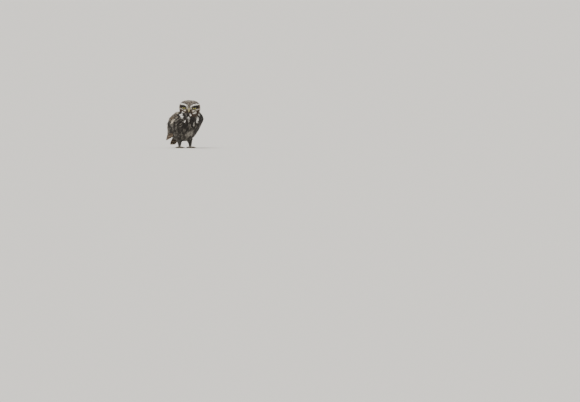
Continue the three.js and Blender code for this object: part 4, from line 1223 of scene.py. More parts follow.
# Each lid's section from its rim outwards and back under it: share of its breadth, height over the ball.
LID_SECTION = (
    (0, 0.4), (0.03, 0.85), (0.12, 1.0), (0.35, 0.8), (0.65, 0.6), (1, 0.4), (1, -0.7), (0.5, -0.7),
    (0.08, -0.6), (0, -0.15),
)
IRIS_YELLOW = "B3AF66"
IRIS_DEEP = "7E722A"
LID_DARK = "120E0C"
LASH_ROWS = 9
LASH_COLUMNS = 70
LASH_LENGTH = 2.7
LASH_WIDTH = 0.85
HAIR_CAMBER = 0.2


def eye_places(side, across, up, ahead):
    """Frame points from places in one eye's own frame, in millimetres from its centre."""
    turn = side * EYE_TURN
    forward = ahead * math.cos(turn) - across * math.sin(turn)
    sideways = across * math.cos(turn) + ahead * math.sin(turn)
    return from_head(np.stack([sideways + side * EYE_SPREAD, forward + EYE_FORWARD, up + EYE_UP], axis=-1))


def closed_shell(name, points, faces):
    """A smooth mesh whose faces all look outwards."""
    mesh = bpy.data.meshes.new(name)
    mesh.from_pydata(points.tolist(), [], faces)
    made = bmesh.new()
    made.from_mesh(mesh)
    bmesh.ops.recalc_face_normals(made, faces=made.faces)
    made.to_mesh(mesh)
    made.free()
    mesh.polygons.foreach_set("use_smooth", np.ones(len(mesh.polygons), bool))
    return mesh


def closed_loft(name, rings):
    """A mesh through rings of points, with a point to close each end."""
    rings = np.asarray(rings)
    count, sides = rings.shape[:2]
    index = np.arange(count * sides).reshape(count, sides)
    nextward = np.roll(index, -1, axis=1)
    faces = np.stack([index[:-1], nextward[:-1], nextward[1:], index[1:]], axis=-1).reshape(-1, 4).tolist()
    points = np.concatenate([rings.reshape(-1, 3), rings[[0, -1]].mean(axis=1)])
    faces += [[b, a, count * sides] for a, b in zip(index[0], nextward[0])]
    faces += [[a, b, count * sides + 1] for a, b in zip(index[-1], nextward[-1])]
    return closed_shell(name, points, faces)


def around_eye(side, reach, polar, heading):
    """Frame points round one eye, at a distance from its centre and angles off and round its axis."""
    across, up = reach * np.sin(polar) * np.cos(heading), reach * np.sin(polar) * np.sin(heading)
    return eye_places(side, across, up, reach * np.cos(polar))


def lid_rim(heading):
    """The angle off the eye's axis at which the lids' rim lies, all round the opening between them."""
    high = np.where(np.sin(heading) > 0, LID_TOP, LID_BOTTOM)
    return np.arcsin(1 / np.hypot(np.cos(heading) / LID_HALF_WIDTH, np.sin(heading) / high) / EYE_RADIUS)


# Living eye: a wet, clear surface over fine radial threads of yellow pigment.
wet_eye, tree, shader = material_with("wet eye", {
    "Roughness": 0.4, "Specular IOR Level": 0.05,
    "Coat Weight": 0.8, "Coat Roughness": 0.02, "Coat IOR": 1.36})
iris = add_node(tree, "ShaderNodeAttribute", {"attribute_name": "iris"}).outputs["Vector"]
flat = add_node(
    tree, "ShaderNodeVectorMath", TIMES, {0: iris, 1: (1, 1, 0)}).outputs["Vector"]
reach = add_node(tree, "ShaderNodeVectorMath", {"operation": "LENGTH"}, {0: flat}).outputs["Value"]
spoke = add_node(tree, "ShaderNodeVectorMath", {"operation": "NORMALIZE"}, {0: flat}).outputs["Vector"]
threads = add_node(tree, "ShaderNodeTexNoise", (), {"Vector": spoke, "Scale": 14.0, "Detail": 5.0})
share = add_node(tree, "ShaderNodeMath", {"operation": "DIVIDE"}, {0: reach, 1: EYE_RADIUS})
rings = add_node(tree, "ShaderNodeValToRGB", (), {"Fac": share})
stops = rings.color_ramp.elements
for stop, (at, code) in zip(
    [stops[0], stops[1]] + [stops.new(0.5) for _ in range(4)],
    (
        (PUPIL_RADIUS / EYE_RADIUS - 0.012, "050403"), (1.0, "0E0B09"),
        (PUPIL_RADIUS / EYE_RADIUS + 0.012, IRIS_DEEP), (PUPIL_RADIUS / EYE_RADIUS + 0.11, IRIS_YELLOW),
        (IRIS_RADIUS / EYE_RADIUS - 0.06, IRIS_YELLOW), (IRIS_RADIUS / EYE_RADIUS + 0.03, "1A140E"),
    ),
):
    stop.position = at
    stop.color = linear(code)
shade = add_node(tree, "ShaderNodeMapRange", (), {"Value": threads, "From Min": 0.3, "From Max": 0.7,
    "To Min": 0.62, "To Max": 1.12})
dyed = add_node(
    tree, "ShaderNodeVectorMath", {"operation": "SCALE"}, {0: rings.outputs["Color"], "Scale": shade})
tree.links.new(dyed.outputs["Vector"], shader.inputs["Base Color"])

# Lid skin: bare, dark and finely wrinkled, a little greasy.
lid_skin, tree, shader = material_with("dark lid skin", {"Roughness": 0.5, "Specular IOR Level": 0.4})
place = add_node(tree, "ShaderNodeTexCoord").outputs["Object"]
grain = add_node(tree, "ShaderNodeTexNoise", (), {"Vector": place, "Scale": 1800.0, "Detail": 3.0})
dye = add_node(tree, "ShaderNodeMix", {"data_type": "RGBA"},
    {"Factor": grain, "A": linear(LID_DARK), "B": linear("2A231D")})
tree.links.new(dye.outputs["Result"], shader.inputs["Base Color"])
bump = add_node(tree, "ShaderNodeBump", (), {"Height": grain, "Strength": 0.5, "Distance": 0.2 * MM})
tree.links.new(bump.outputs["Normal"], shader.inputs["Normal"])

for side, word in SIDES:
    turn = np.linspace(0, 2 * math.pi, 48, endpoint=False)
    tilt, turn = np.meshgrid(np.radians(np.linspace(2, 176, 40)), turn, indexing="ij")
    # The cornea swells the front of the ball by a little.
    swell = 1 + 0.035 * np.exp(-((tilt / 0.75) ** 2))
    across = EYE_RADIUS * np.sin(tilt) * np.cos(turn)
    up = EYE_RADIUS * np.sin(tilt) * np.sin(turn)
    ahead = EYE_RADIUS * np.cos(tilt) * swell
    ball_mesh = closed_loft(f"eye_{word}_ball", eye_places(side, across, up, ahead))
    facts = np.stack([across, up, ahead], axis=-1).reshape(-1, 3)
    facts = np.concatenate([facts, [[0, 0, EYE_RADIUS], [0, 0, -EYE_RADIUS]]])
    layer = ball_mesh.attributes.new("iris", "FLOAT_VECTOR", "POINT")
    layer.data.foreach_set("vector", facts.ravel())
    add_piece(f"eye_{word}_ball", ball_mesh, wet_eye, "eye", f"eye_{word}")
    heading = np.linspace(0, 2 * math.pi, 120, endpoint=False)[:, None]
    rim = lid_rim(heading)
    breadth, height = np.array(LID_SECTION).T
    polar = rim + (LID_EDGE - rim) * breadth
    fold = 0.1 * np.sin(breadth * 22) * (height > 0) * (breadth > 0.1)
    reach = EYE_RADIUS * (1 + 0.035 * np.exp(-((polar / 0.75) ** 2))) + height + fold
    rings = around_eye(side, reach, polar, heading)
    around = len(LID_SECTION)
    index = np.arange(len(heading) * around).reshape(-1, around)
    ahead_index, up_index = np.roll(index, -1, 0), np.roll(index, -1, 1)
    faces = np.stack([index, up_index, np.roll(ahead_index, -1, 1), ahead_index], axis=-1).reshape(-1, 4)
    lid_mesh = closed_shell(f"eye_{word}_lids", rings.reshape(-1, 3), faces.tolist())
    add_piece(f"eye_{word}_lids", lid_mesh, lid_skin, "plumage")
    # Tiny feathers clothe both lids from just behind their bare rims.
    random = np.random.default_rng(420 + side)
    turn, breadth = np.meshgrid(np.linspace(0, 2 * math.pi, LASH_COLUMNS, endpoint=False),
        np.linspace(0.16, 0.95, LASH_ROWS))
    turn = (turn + random.uniform(-0.06, 0.06, turn.shape)).ravel()
    breadth = (breadth + random.uniform(-0.05, 0.05, breadth.shape)).ravel()
    edge = lid_rim(turn)
    stations = np.linspace(0, 1, hair_template.rows + 1)
    polar = (edge + (LID_EDGE - edge) * breadth)[:, None] + LASH_LENGTH / EYE_RADIUS * stations
    reach = EYE_RADIUS + 0.75 + 0.7 * stations
    spread = (turn + random.normal(0, 0.06, len(turn)))[:, None]
    lines = around_eye(side, reach, polar, spread)
    centre = eye_places(side, np.zeros(1), np.zeros(1), np.zeros(1))
    ups = unit(lines - centre)
    ground, accent, strength = head_marks(lines[:, 3])
    # The lid feathers darken towards the bare rim, and those of the upper lid are darkened further with
    # painted shade from the brow.
    dark = fade(0.75, 0.3, breadth) * np.where(np.sin(turn) > 0, 1.0, 0.5)
    ground = blended(ground, EYE_RING_AND_BROW_SHADOW, np.maximum(dark, 0.75 * fade(-0.2, 0.4, np.sin(turn))))
    count = len(turn)
    ground = ground * random.normal(1, 0.12, (count, 1))
    widths = LASH_WIDTH * random.uniform(0.8, 1.2, count) * MM
    name, roots, marks = f"eyelid_{word}_coat", head_map(lines[:, 0]), (ground, accent, 0 * strength)
    mesh = feathers(name, hair_template, lines, ups, widths, HAIR_CAMBER, 0.04, roots, marks, 424 + side)
    add_piece(name, mesh, plain_vane, "plumage")


# Brows
# Two white brows of short stiff feathers, which meet the bill as a steep stroke and then run out level over
# the eyes. They stand proud of the upper lids and shade them. Short hairs ring the lower lids.
BROW_PATH = [[6.4, -1.5], [5.6, 3.6], [6.8, 8.2], [10.5, 11.9], [17, 14.6], [24, 15.7], [34.5, 14.3]]
BROW_HALF_BREADTH = 1.1
BROW_ROWS = 7
BROW_LENGTH = 5.2
BROW_WIDTH = 1.0
BROW_HEIGHTS = (0.3, 1.9)
EYE_RING_ROWS = 3
EYE_RING_COLUMNS = 66
EYE_RING_LENGTH = 4.4
EYE_RING_WIDTH = 0.95
EYE_RING_RISE = 1.1
EYE_RING_ARC = (math.radians(150), math.radians(390))

face_points, face_triangles = [skin_points], [skin_faces]
for word in ("left", "right"):
    for name in (f"eye_{word}_ball", f"eye_{word}_lids"):
        mesh = bpy.data.objects[name].data
        mesh.calc_loop_triangles()
        triangles = np.array([triangle.vertices[:] for triangle in mesh.loop_triangles])
        face_triangles.append(triangles + sum(len(part) for part in face_points))
        face_points.append(points_of(mesh))
face_points, face_triangles = np.concatenate(face_points), np.concatenate(face_triangles)
face_tree = BVHTree.FromPolygons(face_points.tolist(), face_triangles.tolist())


def on_face(side, up):
    """Frame points on the face and the directions out of it, at places on the head seen from the front."""
    start = from_head(np.stack([side, np.full_like(side, 60.0), up], axis=-1))
    inwards = Vector(HEAD_TURN @ Vector((0, 1, 0)))
    hits = []
    for place in start.reshape(-1, 3).tolist():
        hit = face_tree.ray_cast(Vector(place), inwards, 55 * MM)[:2]
        hits.append(hit if hit[0] else face_tree.find_nearest(Vector(place) + inwards * 50 * MM)[:2])
    points = np.array([hit[0][:] for hit in hits]).reshape(start.shape)
    return points, np.array([hit[1][:] for hit in hits]).reshape(start.shape)


random = np.random.default_rng(430)
lines, ups = [], []
for side in (1, -1):
    path = np.array(BROW_PATH, float)
    steps = np.concatenate([[0], np.cumsum(np.linalg.norm(np.diff(path, axis=0), axis=1))])
    at, row = np.meshgrid(np.arange(0, steps[-1], 0.55), np.linspace(-1, 1, BROW_ROWS))
    at = (at + random.uniform(-0.4, 0.4, at.shape)).ravel()
    row = (row + random.uniform(-0.2, 0.2, row.shape)).ravel()
    stations = np.linspace(0, 1, hair_template.rows + 1)
    length = BROW_LENGTH * random.uniform(0.8, 1.15, len(at)) * (0.65 + 0.35 * fade(4, 12, at))
    along = np.clip(at[:, None] + length[:, None] * stations, 0, steps[-1] + 4)
    across = np.interp(along, steps, path[:, 0]) + np.maximum(along - steps[-1], 0)
    up = np.interp(along, steps, path[:, 1])
    slope_across = np.interp(along + 0.5, steps, path[:, 0]) - np.interp(along - 0.5, steps, path[:, 0])
    slope_up = np.interp(along + 0.5, steps, path[:, 1]) - np.interp(along - 0.5, steps, path[:, 1])
    offset = row[:, None] * BROW_HALF_BREADTH * (0.8 + 0.6 * stations)
    offset = offset + random.normal(0, 0.5, (len(at), 1)) * stations
    across, up = across - slope_up * offset, up + slope_across * offset
    points, normals = on_face(side * across, up)
    before, after = [0, *range(len(stations) - 1)], [*range(1, len(stations)), -1]
    points = (points[:, before] + points + points[:, after]) / 3
    rise = (BROW_HEIGHTS[1] - BROW_HEIGHTS[0]) * random.uniform(0.5, 1.3, (len(at), 1))
    height = BROW_HEIGHTS[0] + rise * stations
    lines.append(points + normals * height[..., None] * MM)
    ups.append(unit(normals + normals.mean(axis=1, keepdims=True)))
lines, ups = np.concatenate(lines), np.concatenate(ups)
count = len(lines)
ground = np.tile(colour(BROW_WHITE), (count, 1)) * random.normal(0.92, 0.1, (count, 1)).clip(0.6, 1)
marks = (ground, ground, np.full(count, 0.3))
widths = BROW_WIDTH * random.uniform(0.8, 1.2, count) * MM
roots = head_map(lines[:, 0])
mesh = feathers("brow_coat", hair_template, lines, ups, widths, HAIR_CAMBER, 0.05, roots, marks, 431)
add_piece("brow_coat", mesh, plain_vane, "plumage")

# Short hairs stand round the lower lids and close the ring between them and the disc.
turn = np.linspace(*EYE_RING_ARC, EYE_RING_COLUMNS)
turn, row = np.meshgrid(turn, np.arange(EYE_RING_ROWS))
turn = (turn + random.uniform(-0.04, 0.04, turn.shape)).ravel()
row = (row + random.uniform(-0.3, 0.3, row.shape)).ravel()
lines, ups = [], []
for side in (1, -1):
    reach = EYE_RADIUS + 0.5 + 0.9 * row[:, None] + EYE_RING_LENGTH * stations
    across, up = EYE_SPREAD + reach * np.cos(turn)[:, None], EYE_UP + reach * np.sin(turn)[:, None]
    points, normals = on_face(side * across, up)
    height = 0.3 + EYE_RING_RISE * stations
    lines.append(points + normals * height[:, None] * MM)
    ups.append(unit(normals + normals.mean(axis=1, keepdims=True)))
lines, ups = np.concatenate(lines), np.concatenate(ups)
ground, accent, strength = head_marks(lines[:, 3])
ground = ground * random.normal(1, 0.12, (len(lines), 1)).clip(0.6, 1.3)
widths = EYE_RING_WIDTH * random.uniform(0.8, 1.2, len(lines)) * MM
roots, marks = head_map(lines[:, 0]), (ground, accent, 0 * strength)
mesh = feathers("eye_ring_coat", hair_template, lines, ups, widths, HAIR_CAMBER, 0.05, roots, marks, 433)
add_piece("eye_ring_coat", mesh, plain_vane, "plumage")


# Bill
# A short, stout, hooked bill of horn, its upper half closing over the lower one, with a soft swollen cere
# round each nostril where it comes out of the feathers.
UPPER_BILL_LINE = [[0, 22, 1.5], [0, 29.5, 2], [0, 34.6, -2.3], [0, 36, -7.6], [0, 34.4, -12.9]]
UPPER_BILL_HALF_WIDTHS = [4.5, 4.4, 3.7, 2.4, 0.3]
UPPER_BILL_HALF_DEPTHS = [3.6, 3.8, 3.5, 2.4, 0.35]
LOWER_BILL_LINE = [[0, 22, -5.5], [0, 29.5, -7.4], [0, 33.4, -10.6]]
LOWER_BILL_HALF_WIDTHS = [3.8, 3.5, 1.2]
LOWER_BILL_HALF_DEPTHS = [2.2, 2.1, 0.8]
NOSTRIL_PLACE = (3.6, 33.6, -0.3)
NOSTRIL_RADIUS = 1.0
BILL_HORN = "B3A780"
BILL_BASE_GREY = "6B6753"


def bill_mesh(name, line, half_widths, half_depths, ridge, cere):
    """One half of the bill: rings along its bent line, keeled along the top, with pits for nostrils."""
    shares = np.linspace(0, 1, 44)
    spots = np.linspace(0, 1, len(half_widths))
    centres = smooth_line(line, shares)
    ahead = unit(np.gradient(centres, axis=0))
    upwards = unit(np.cross([1.0, 0, 0], ahead))
    upwards = upwards * np.sign(upwards[:, 1] + upwards[:, 2])[:, None]
    turn = np.linspace(0, 2 * math.pi, 40, endpoint=False)
    wide, deep = np.interp(shares, spots, half_widths), np.interp(shares, spots, half_depths)
    swell = 1 + cere * np.exp(-(((shares - 0.36) / 0.12) ** 2))
    keel = 1 - ridge * np.clip(np.sin(turn), 0, 1) ** 3
    across = (wide * swell)[:, None] * np.cos(turn) * keel
    up = deep[:, None] * np.sin(turn) * np.where(np.sin(turn) > 0, 1.0 + ridge * 0.2, 0.85)
    points = centres[:, None] + across[..., None] * np.array([1.0, 0, 0]) + up[..., None] * upwards[:, None]
    for side in (1, -1):
        pit = np.array(NOSTRIL_PLACE) * (side, 1, 1)
        near = np.linalg.norm((points - pit) * (0.7, 1, 1), axis=-1)
        sunk = cere * 12 * np.clip(1 - (near / NOSTRIL_RADIUS) ** 2, 0, 1)
        points = points - np.array([side * 1.0, 0, 0]) * sunk[..., None]
    return closed_loft(name, from_head(points))


# Horn: smooth and close-grained, grown in long faint streaks, and greyer where it leaves the skin.
bill_horn, tree, shader = material_with("pale bill horn", {"Roughness": 0.42, "Specular IOR Level": 0.45})
place = add_node(tree, "ShaderNodeTexCoord").outputs["Object"]
streaks = add_node(
    tree, "ShaderNodeMapping", (), {"Vector": place, "Scale": (900, 900, 160)}).outputs["Vector"]
grain = add_node(tree, "ShaderNodeTexNoise", (), {"Vector": streaks, "Scale": 1.0, "Detail": 4.0})
tip = np.array(from_head([0, 35, -9]))
away = add_node(tree, "ShaderNodeVectorMath", {"operation": "DISTANCE"}, {0: place, 1: tuple(tip)})
base = add_node(tree, "ShaderNodeMapRange", (), {"Value": away.outputs["Value"], "From Min": 4 * MM,
    "From Max": 11 * MM, "To Min": 0.0, "To Max": 0.75})
horn = add_node(tree, "ShaderNodeMix", {"data_type": "RGBA"},
    {"Factor": grain, "A": linear(BILL_HORN), "B": linear("8F8660")})
horn = add_node(tree, "ShaderNodeMix", {"data_type": "RGBA"},
    {"Factor": base, "A": horn.outputs["Result"], "B": linear(BILL_BASE_GREY)})
tree.links.new(horn.outputs["Result"], shader.inputs["Base Color"])
bump = add_node(tree, "ShaderNodeBump", (), {"Height": grain, "Strength": 0.35, "Distance": 0.15 * MM})
tree.links.new(bump.outputs["Normal"], shader.inputs["Normal"])

for name, line, half_widths, half_depths, ridge, cere in (
    ("bill_upper", UPPER_BILL_LINE, UPPER_BILL_HALF_WIDTHS, UPPER_BILL_HALF_DEPTHS, 0.32, 0.1),
    ("bill_lower", LOWER_BILL_LINE, LOWER_BILL_HALF_WIDTHS, LOWER_BILL_HALF_DEPTHS, 0.0, 0.0),
):
    mesh = bill_mesh(f"{name}_horn", line, half_widths, half_depths, ridge, cere)
    add_piece(f"{name}_horn", mesh, bill_horn, "bill", name)


# Feet
# Two toed feet of soft scaly skin, with plump pads below and rows of small plates across the top of each toe.
# The outer toe is turned out, as owls stand, and sparse pale bristles grow on the toes.
FEET = {"left": (20, 6.5), "right": (-20, -6.5)}
TOES = (
    {"name": "inner", "turn": -16, "length": 17},
    {"name": "middle", "turn": 12, "length": 21},
    {"name": "outer", "turn": 82, "length": 18},
    {"name": "hind", "turn": 202, "length": 12},
)
TOE_RADII = (2.7, 2.15)
TOE_PADS = 3
TOE_ARCH = 0.45
PLATE_LENGTH = 1.5  # millimetres of toe that each plate covers
PALM_RADII = (5.4, 6.2, 4.2)
PALM_HEIGHT = 3.1
FOOT_VOXEL = 0.42 * MM
TOE_SKIN = "6E675A"
SOLE_SKIN = "4A4439"


def toe_heading(side, turn):
    return np.array([side * math.sin(math.radians(turn)), math.cos(math.radians(turn)), 0.0])


def toe_rings(side, ankle, toe):
    """Rings along one toe, swelling at its pads and stepping up at each plate on top."""
    heading = toe_heading(side, toe["turn"])
    across = np.array([-heading[1], heading[0], 0.0])
    shares = np.linspace(0, 1, 60)
    pad = 0.34 * np.sin(shares * TOE_PADS * math.pi) ** 2
    radius = TOE_RADII[0] + (TOE_RADII[1] - TOE_RADII[0]) * shares
    radius = radius * np.sqrt(np.clip((1.03 - shares) / 0.08, 0.2, 1))
    turn = np.linspace(0, 2 * math.pi, 26, endpoint=False)
    steps = (shares * toe["length"] / PLATE_LENGTH) % 1
    plate = 0.2 * np.sin(steps * math.pi) ** 0.5 * (shares < 0.97)
    top = np.clip(np.sin(turn), 0, 1)
    reach = radius[:, None] + pad[:, None] * np.clip(-np.sin(turn) + 0.4, 0, 1) + plate[:, None] * top
    centre = np.array([*ankle, 0.0]) + heading * (shares * toe["length"])[:, None]
    centre[:, 2] = (radius + pad) * 0.86 + TOE_ARCH * np.sin(shares * math.pi)
    rings = centre[:, None] + across * (reach * np.cos(turn))[..., None]
    rings[..., 2] += reach * np.sin(turn)
    return rings


# Toe skin: dry, horny plates on top, darker rough pads below.
toe_skin, tree, shader = material_with("scaly toe skin", {"Roughness": 0.68, "Specular IOR Level": 0.35})
place = add_node(tree, "ShaderNodeTexCoord").outputs["Object"]
SCALE_WIDTH = 0.7  # millimetres, the width of a small scale on the toe's sides
cells = add_node(tree, "ShaderNodeTexVoronoi", {"feature": "DISTANCE_TO_EDGE"},
    {"Vector": place, "Scale": 1000 / SCALE_WIDTH}).outputs["Distance"]
ridges = add_node(tree, "ShaderNodeMapRange", (), {"Value": cells, "From Max": 0.22})
up = add_node(tree, "ShaderNodeSeparateXYZ", (), {"Vector": place}).outputs["Z"]
high = add_node(tree, "ShaderNodeMapRange", (), {"Value": up, "From Min": 0.5 * MM, "From Max": 3 * MM})
dye = add_node(tree, "ShaderNodeMix", {"data_type": "RGBA"},
    {"Factor": high.outputs["Result"], "A": linear(SOLE_SKIN), "B": linear(TOE_SKIN)}).outputs["Result"]
depths = add_node(tree, "ShaderNodeMapRange", (), {"Value": ridges, "To Min": 0.6, "To Max": 1.0})
dye = add_node(tree, "ShaderNodeVectorMath", {"operation": "SCALE"}, {0: dye, "Scale": depths})
tree.links.new(dye.outputs["Vector"], shader.inputs["Base Color"])
bump = add_node(tree, "ShaderNodeBump", (), {"Height": ridges, "Strength": 0.6, "Distance": 0.12 * MM})
tree.links.new(bump.outputs["Normal"], shader.inputs["Normal"])

feet_meshes = {}
for side, word in SIDES:
    ankle = FEET[word]
    parts = [toe_rings(side, ankle, toe) for toe in TOES]
    turn = np.linspace(0, 2 * math.pi, 26, endpoint=False)
    tilt, turn = np.meshgrid(np.linspace(-1.5, 1.5, 20), turn, indexing="ij")
    palm = np.stack([
        ankle[0] + PALM_RADII[0] * np.cos(tilt) * np.cos(turn),
        ankle[1] + PALM_RADII[1] * np.cos(tilt) * np.sin(turn),
        PALM_HEIGHT + PALM_RADII[2] * np.sin(tilt),
    ], axis=-1)
    made = bmesh.new()
    for part in (*parts, palm):
        piece_mesh = closed_loft("toe", from_body(part))
        made.from_mesh(piece_mesh)
        bpy.data.meshes.remove(piece_mesh)
    foot_mesh = bpy.data.meshes.new(f"foot_{word}_skin")
    made.to_mesh(foot_mesh)
    made.free()
    foot = add_object(f"foot_{word}_skin", foot_mesh)
    fuse = foot.modifiers.new("fuse", "REMESH")
    fuse.mode = "VOXEL"
    fuse.voxel_size = FOOT_VOXEL
    fuse.use_smooth_shade = True
    soften = foot.modifiers.new("soften", "SMOOTH")
    soften.iterations = 2
    fused = applied(foot)
    places = np.empty(len(fused.vertices) * 3, np.float32)
    fused.vertices.foreach_get("co", places)
    places = places.reshape(-1, 3)
    places[:, 2] = np.maximum(places[:, 2], 0)
    fused.vertices.foreach_set("co", places.ravel())
    fused.update()
    foot.data = fused
    fused.materials.clear()
    fused.materials.append(toe_skin)
    feet_meshes[word] = fused
    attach(foot, "root")
    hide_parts(f"foot_{word}")


# Claws
# Long, needle-sharp, curved claws of black horn, one at the end of each toe, with paler patches in the horn.
CLAW_LENGTH = 8.8
CLAW_RADIUS = 1.5
CLAW_RISE = math.radians(26)
CLAW_BEND = math.radians(78)
CLAW_BLACK = "211C18"
CLAW_BASE = "4D453A"

claw_horn, tree, shader = material_with("black claw horn", {"Roughness": 0.32, "Specular IOR Level": 0.5})
place = add_node(tree, "ShaderNodeTexCoord").outputs["Object"]
grain = add_node(tree, "ShaderNodeTexNoise", (), {"Vector": place, "Scale": 700.0, "Detail": 4.0})
worn = add_node(tree, "ShaderNodeMapRange", (), {"Value": grain, "From Min": 0.45, "From Max": 0.75})
dye = add_node(tree, "ShaderNodeMix", {"data_type": "RGBA"},
    {"Factor": worn, "A": linear(CLAW_BLACK), "B": linear(CLAW_BASE)})
tree.links.new(dye.outputs["Result"], shader.inputs["Base Color"])
bump = add_node(tree, "ShaderNodeBump", (), {"Height": grain, "Strength": 0.25, "Distance": 0.1 * MM})
tree.links.new(bump.outputs["Normal"], shader.inputs["Normal"])

for side, word in SIDES:
    for toe in TOES:
        heading = toe_heading(side, toe["turn"])
        across = np.array([-heading[1], heading[0], 0.0])
        shares = np.linspace(0, 1, 18)
        angles = shares * CLAW_BEND - CLAW_RISE
        arc = CLAW_LENGTH / CLAW_BEND
        ahead = arc * (np.sin(angles) + math.sin(CLAW_RISE))
        root = np.array([*FEET[word], TOE_RADII[1]]) + heading * (toe["length"] - 0.6)
        centre = root + heading * ahead[:, None]
        centre[:, 2] += arc * (np.cos(angles) - math.cos(CLAW_RISE))
        upwards = heading * np.sin(angles)[:, None] + np.array([0, 0, 1.0]) * np.cos(angles)[:, None]
        radius = CLAW_RADIUS * (1 - shares) ** 0.72 + 0.1
        turn = np.linspace(0, 2 * math.pi, 16, endpoint=False)
        rings = centre[:, None] + across * (0.78 * radius[:, None] * np.cos(turn))[..., None]
        rings = rings + upwards[:, None] * (radius[:, None] * np.sin(turn))[..., None]
        name = f"claw_{word}_{toe['name']}"
        add_piece(f"{name}_horn", closed_loft("claw", from_body(rings)), claw_horn, "claw", name)


# Bristles
# Stiff hair-like feathers without vanes: whiskers round the bill, and sparse bristles on the toes.
# They are rooted over a patch of skin by geometry nodes and bend along the lie of the coat.
BRISTLE_RINGS = 6
BRISTLE_SIDES = 4


def bristle_growth():
    """Geometry nodes that root tapered, bent bristles on a surface, along its lie attribute."""
    tree = bpy.data.node_groups.new("bristles", "GeometryNodeTree")
    tree.interface.new_socket("Surface", in_out="INPUT", socket_type="NodeSocketGeometry")
    for name in ("Spacing", "Length", "Thickness"):
        tree.interface.new_socket(name, in_out="INPUT", socket_type="NodeSocketFloat")
    tree.interface.new_socket("Seed", in_out="INPUT", socket_type="NodeSocketInt")
    tree.interface.new_socket("Material", in_out="INPUT", socket_type="NodeSocketMaterial")
    tree.interface.new_socket("Bristles", in_out="OUTPUT", socket_type="NodeSocketGeometry")
    given = add_node(tree, "NodeGroupInput").outputs
    roots = add_node(tree, "GeometryNodeDistributePointsOnFaces", {"distribute_method": "POISSON"}, {
        "Mesh": given["Surface"], "Distance Min": given["Spacing"], "Density Max": 4e6,
        "Seed": given["Seed"]})
    lie = add_node(tree, "GeometryNodeInputNamedAttribute", {"data_type": "FLOAT_VECTOR"}, {"Name": "lie"})
    sway = add_node(tree, "FunctionNodeRandomValue", {"data_type": "FLOAT_VECTOR"},
        {"Min": (-0.22, -0.22, -0.22), "Max": (0.22, 0.22, 0.22), "Seed": given["Seed"]})
    heading = add_node(tree, "ShaderNodeVectorMath", PLUS,
        {0: lie, 1: sway})
    turned = add_node(tree, "FunctionNodeAlignRotationToVector", {"axis": "Z"},
        {"Vector": heading.outputs["Vector"]})
    line = add_node(tree, "GeometryNodeCurvePrimitiveLine", (), {"Start": (0, 0, 0), "End": (0, 0, 1)})
    line = add_node(tree, "GeometryNodeResampleCurve", (), {"Curve": line, "Count": BRISTLE_RINGS})
    along = add_node(tree, "ShaderNodeSeparateXYZ", (),
        {"Vector": add_node(tree, "GeometryNodeInputPosition").outputs["Position"]}).outputs["Z"]
    squared = add_node(tree, "ShaderNodeMath", TIMES, {0: along, 1: along})
    droop = add_node(tree, "ShaderNodeMath", TIMES, {0: squared, 1: 0.22})
    offset = add_node(tree, "ShaderNodeCombineXYZ", (), {"X": droop}).outputs["Vector"]
    bent = add_node(tree, "GeometryNodeSetPosition", (), {"Geometry": line, "Offset": offset})
    slender = add_node(tree, "ShaderNodeMath", {"operation": "DIVIDE"},
        {0: given["Thickness"], 1: given["Length"]})
    taper = add_node(tree, "ShaderNodeMapRange", (), {"Value": along, "To Min": 1.0, "To Max": 0.12})
    radius = add_node(tree, "ShaderNodeMath", TIMES,
        {0: taper.outputs["Result"], 1: slender})
    outline = add_node(
        tree, "GeometryNodeCurvePrimitiveCircle", (), {"Resolution": BRISTLE_SIDES, "Radius": 1.0})
    bristle = add_node(tree, "GeometryNodeCurveToMesh", (), {
        "Curve": bent, "Profile Curve": outline, "Scale": radius,
        "Fill Caps": True})
    vary = add_node(tree, "FunctionNodeRandomValue", {"data_type": "FLOAT"}, {"Seed": given["Seed"]})
    vary.inputs[2].default_value, vary.inputs[3].default_value = 0.65, 1.2
    size = add_node(tree, "ShaderNodeMath", TIMES,
        {0: given["Length"], 1: vary.outputs[1]})
    grown = add_node(tree, "GeometryNodeInstanceOnPoints", (), {
        "Points": roots, "Instance": bristle,
        "Rotation": turned, "Scale": size})
    whole = add_node(tree, "GeometryNodeRealizeInstances", (), {"Geometry": grown})
    dyed = add_node(tree, "GeometryNodeSetMaterial", (),
        {"Geometry": whole, "Material": given["Material"]})
    add_node(tree, "NodeGroupOutput", (), {"Bristles": dyed})
    return tree


# Bristle: a bare shaft of dull horn, mottled pale and dark.
bristle_horn, tree, shader = material_with("bristle shaft", {"Roughness": 0.6, "Specular IOR Level": 0.3})
place = add_node(tree, "ShaderNodeTexCoord").outputs["Object"]
grain = add_node(tree, "ShaderNodeTexNoise", (), {"Vector": place, "Scale": 500.0, "Detail": 2.0})
dye = add_node(tree, "ShaderNodeMix", {"data_type": "RGBA"},
    {"Factor": grain, "A": linear("5E5344"), "B": linear("CFC5B0")})
tree.links.new(dye.outputs["Result"], shader.inputs["Base Color"])

growth_tree = bristle_growth()
sockets = {item.name: item.identifier for item in growth_tree.interface.items_tree}


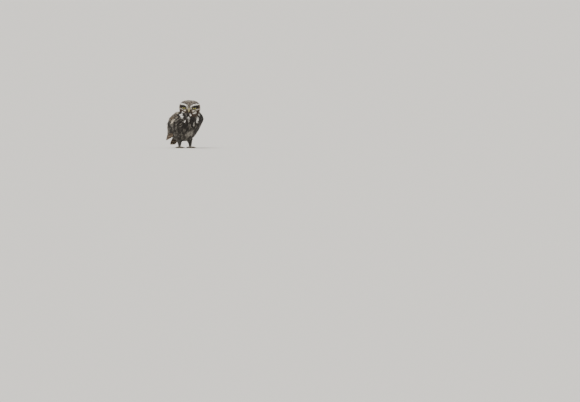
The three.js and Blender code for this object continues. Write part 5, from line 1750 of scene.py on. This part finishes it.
def grow_bristles(name, points, faces, lie, spacing, length, thickness, seed):
    """Bristles over one patch of skin, as a plain mesh."""
    patch_mesh = bpy.data.meshes.new(name)
    used, compact = np.unique(faces, return_inverse=True)
    patch_mesh.from_pydata(points[used].tolist(), [], compact.reshape(-1, 3).tolist())
    layer = patch_mesh.attributes.new("lie", "FLOAT_VECTOR", "POINT")
    layer.data.foreach_set("vector", lie[used].astype(np.float32).ravel())
    grown = add_object(name, patch_mesh)
    modifier = grown.modifiers.new("growth", "NODES")
    modifier.node_group = growth_tree
    given = {"Spacing": spacing, "Length": length, "Thickness": thickness, "Seed": seed}
    given["Material"] = bristle_horn
    for key, value in given.items():
        modifier[sockets[key]] = value
    mesh = applied(grown)
    grown.data = mesh
    each = BRISTLE_RINGS * BRISTLE_SIDES
    places = np.empty(len(mesh.vertices) * 3, np.float32)
    mesh.vertices.foreach_get("co", places)
    roots = places.reshape(-1, each, 3)[:, :BRISTLE_SIDES].mean(axis=1)
    low, high = roots.min(axis=0), roots.max(axis=0)
    at = (roots - low)[:, :2] / (high - low).max() * 0.98 + 0.01
    ring = np.indices((BRISTLE_RINGS, BRISTLE_SIDES)).reshape(2, -1).T / (BRISTLE_RINGS, BRISTLE_SIDES)
    spots = (at[:, None] + (ring[None] - 0.5) * BAKE_PATCH).reshape(-1, 2)
    corners = np.empty(len(mesh.loops), np.int32)
    mesh.loops.foreach_get("vertex_index", corners)
    bake_map = mesh.uv_layers.new(name="OFBake")
    bake_map.data.foreach_set("uv", spots[corners].astype(np.float32).ravel())
    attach(grown, "root")


in_face = in_head(skin_points)
lore = np.stack([in_face[:, 0] * 1.4, in_face[:, 1] - 12, (in_face[:, 2] + 2) * 1.3 - 4], axis=1)
whisker_lie = (unit(lore) * (1, -1, 1)) @ head_axes.T
around_bill = head_mask & facing & (np.abs(head_places[:, 0]) < 10) & (np.abs(head_places[:, 2] + 3) < 8)
rooted = skin_faces[around_bill & ~bare]
grow_bristles("whiskers", skin_points, rooted, whisker_lie, 1.1 * MM, 8.5 * MM, 0.13 * MM, 5)
for side, word in SIDES:
    mesh = feet_meshes[word]
    points = points_of(mesh)
    normals = np.array([vertex.normal[:] for vertex in mesh.vertices])
    mesh.calc_loop_triangles()
    triangles = np.array([triangle.vertices[:] for triangle in mesh.loop_triangles])
    places = in_body(points)
    outward = places[:, :2] - np.array(FEET[word])
    outward = unit(np.concatenate([outward, np.zeros((len(outward), 1))], axis=1)) * (1, -1, 1)
    lie = unit(outward + normals * 0.55)
    upper = (normals[triangles].mean(axis=1)[:, 2] > 0.25) & (places[triangles].mean(axis=1)[:, 2] > 2.4)
    grow_bristles(f"toe_bristles_{word}", points, triangles[upper], lie, 0.75 * MM, 2.6 * MM, 0.1 * MM, 6)
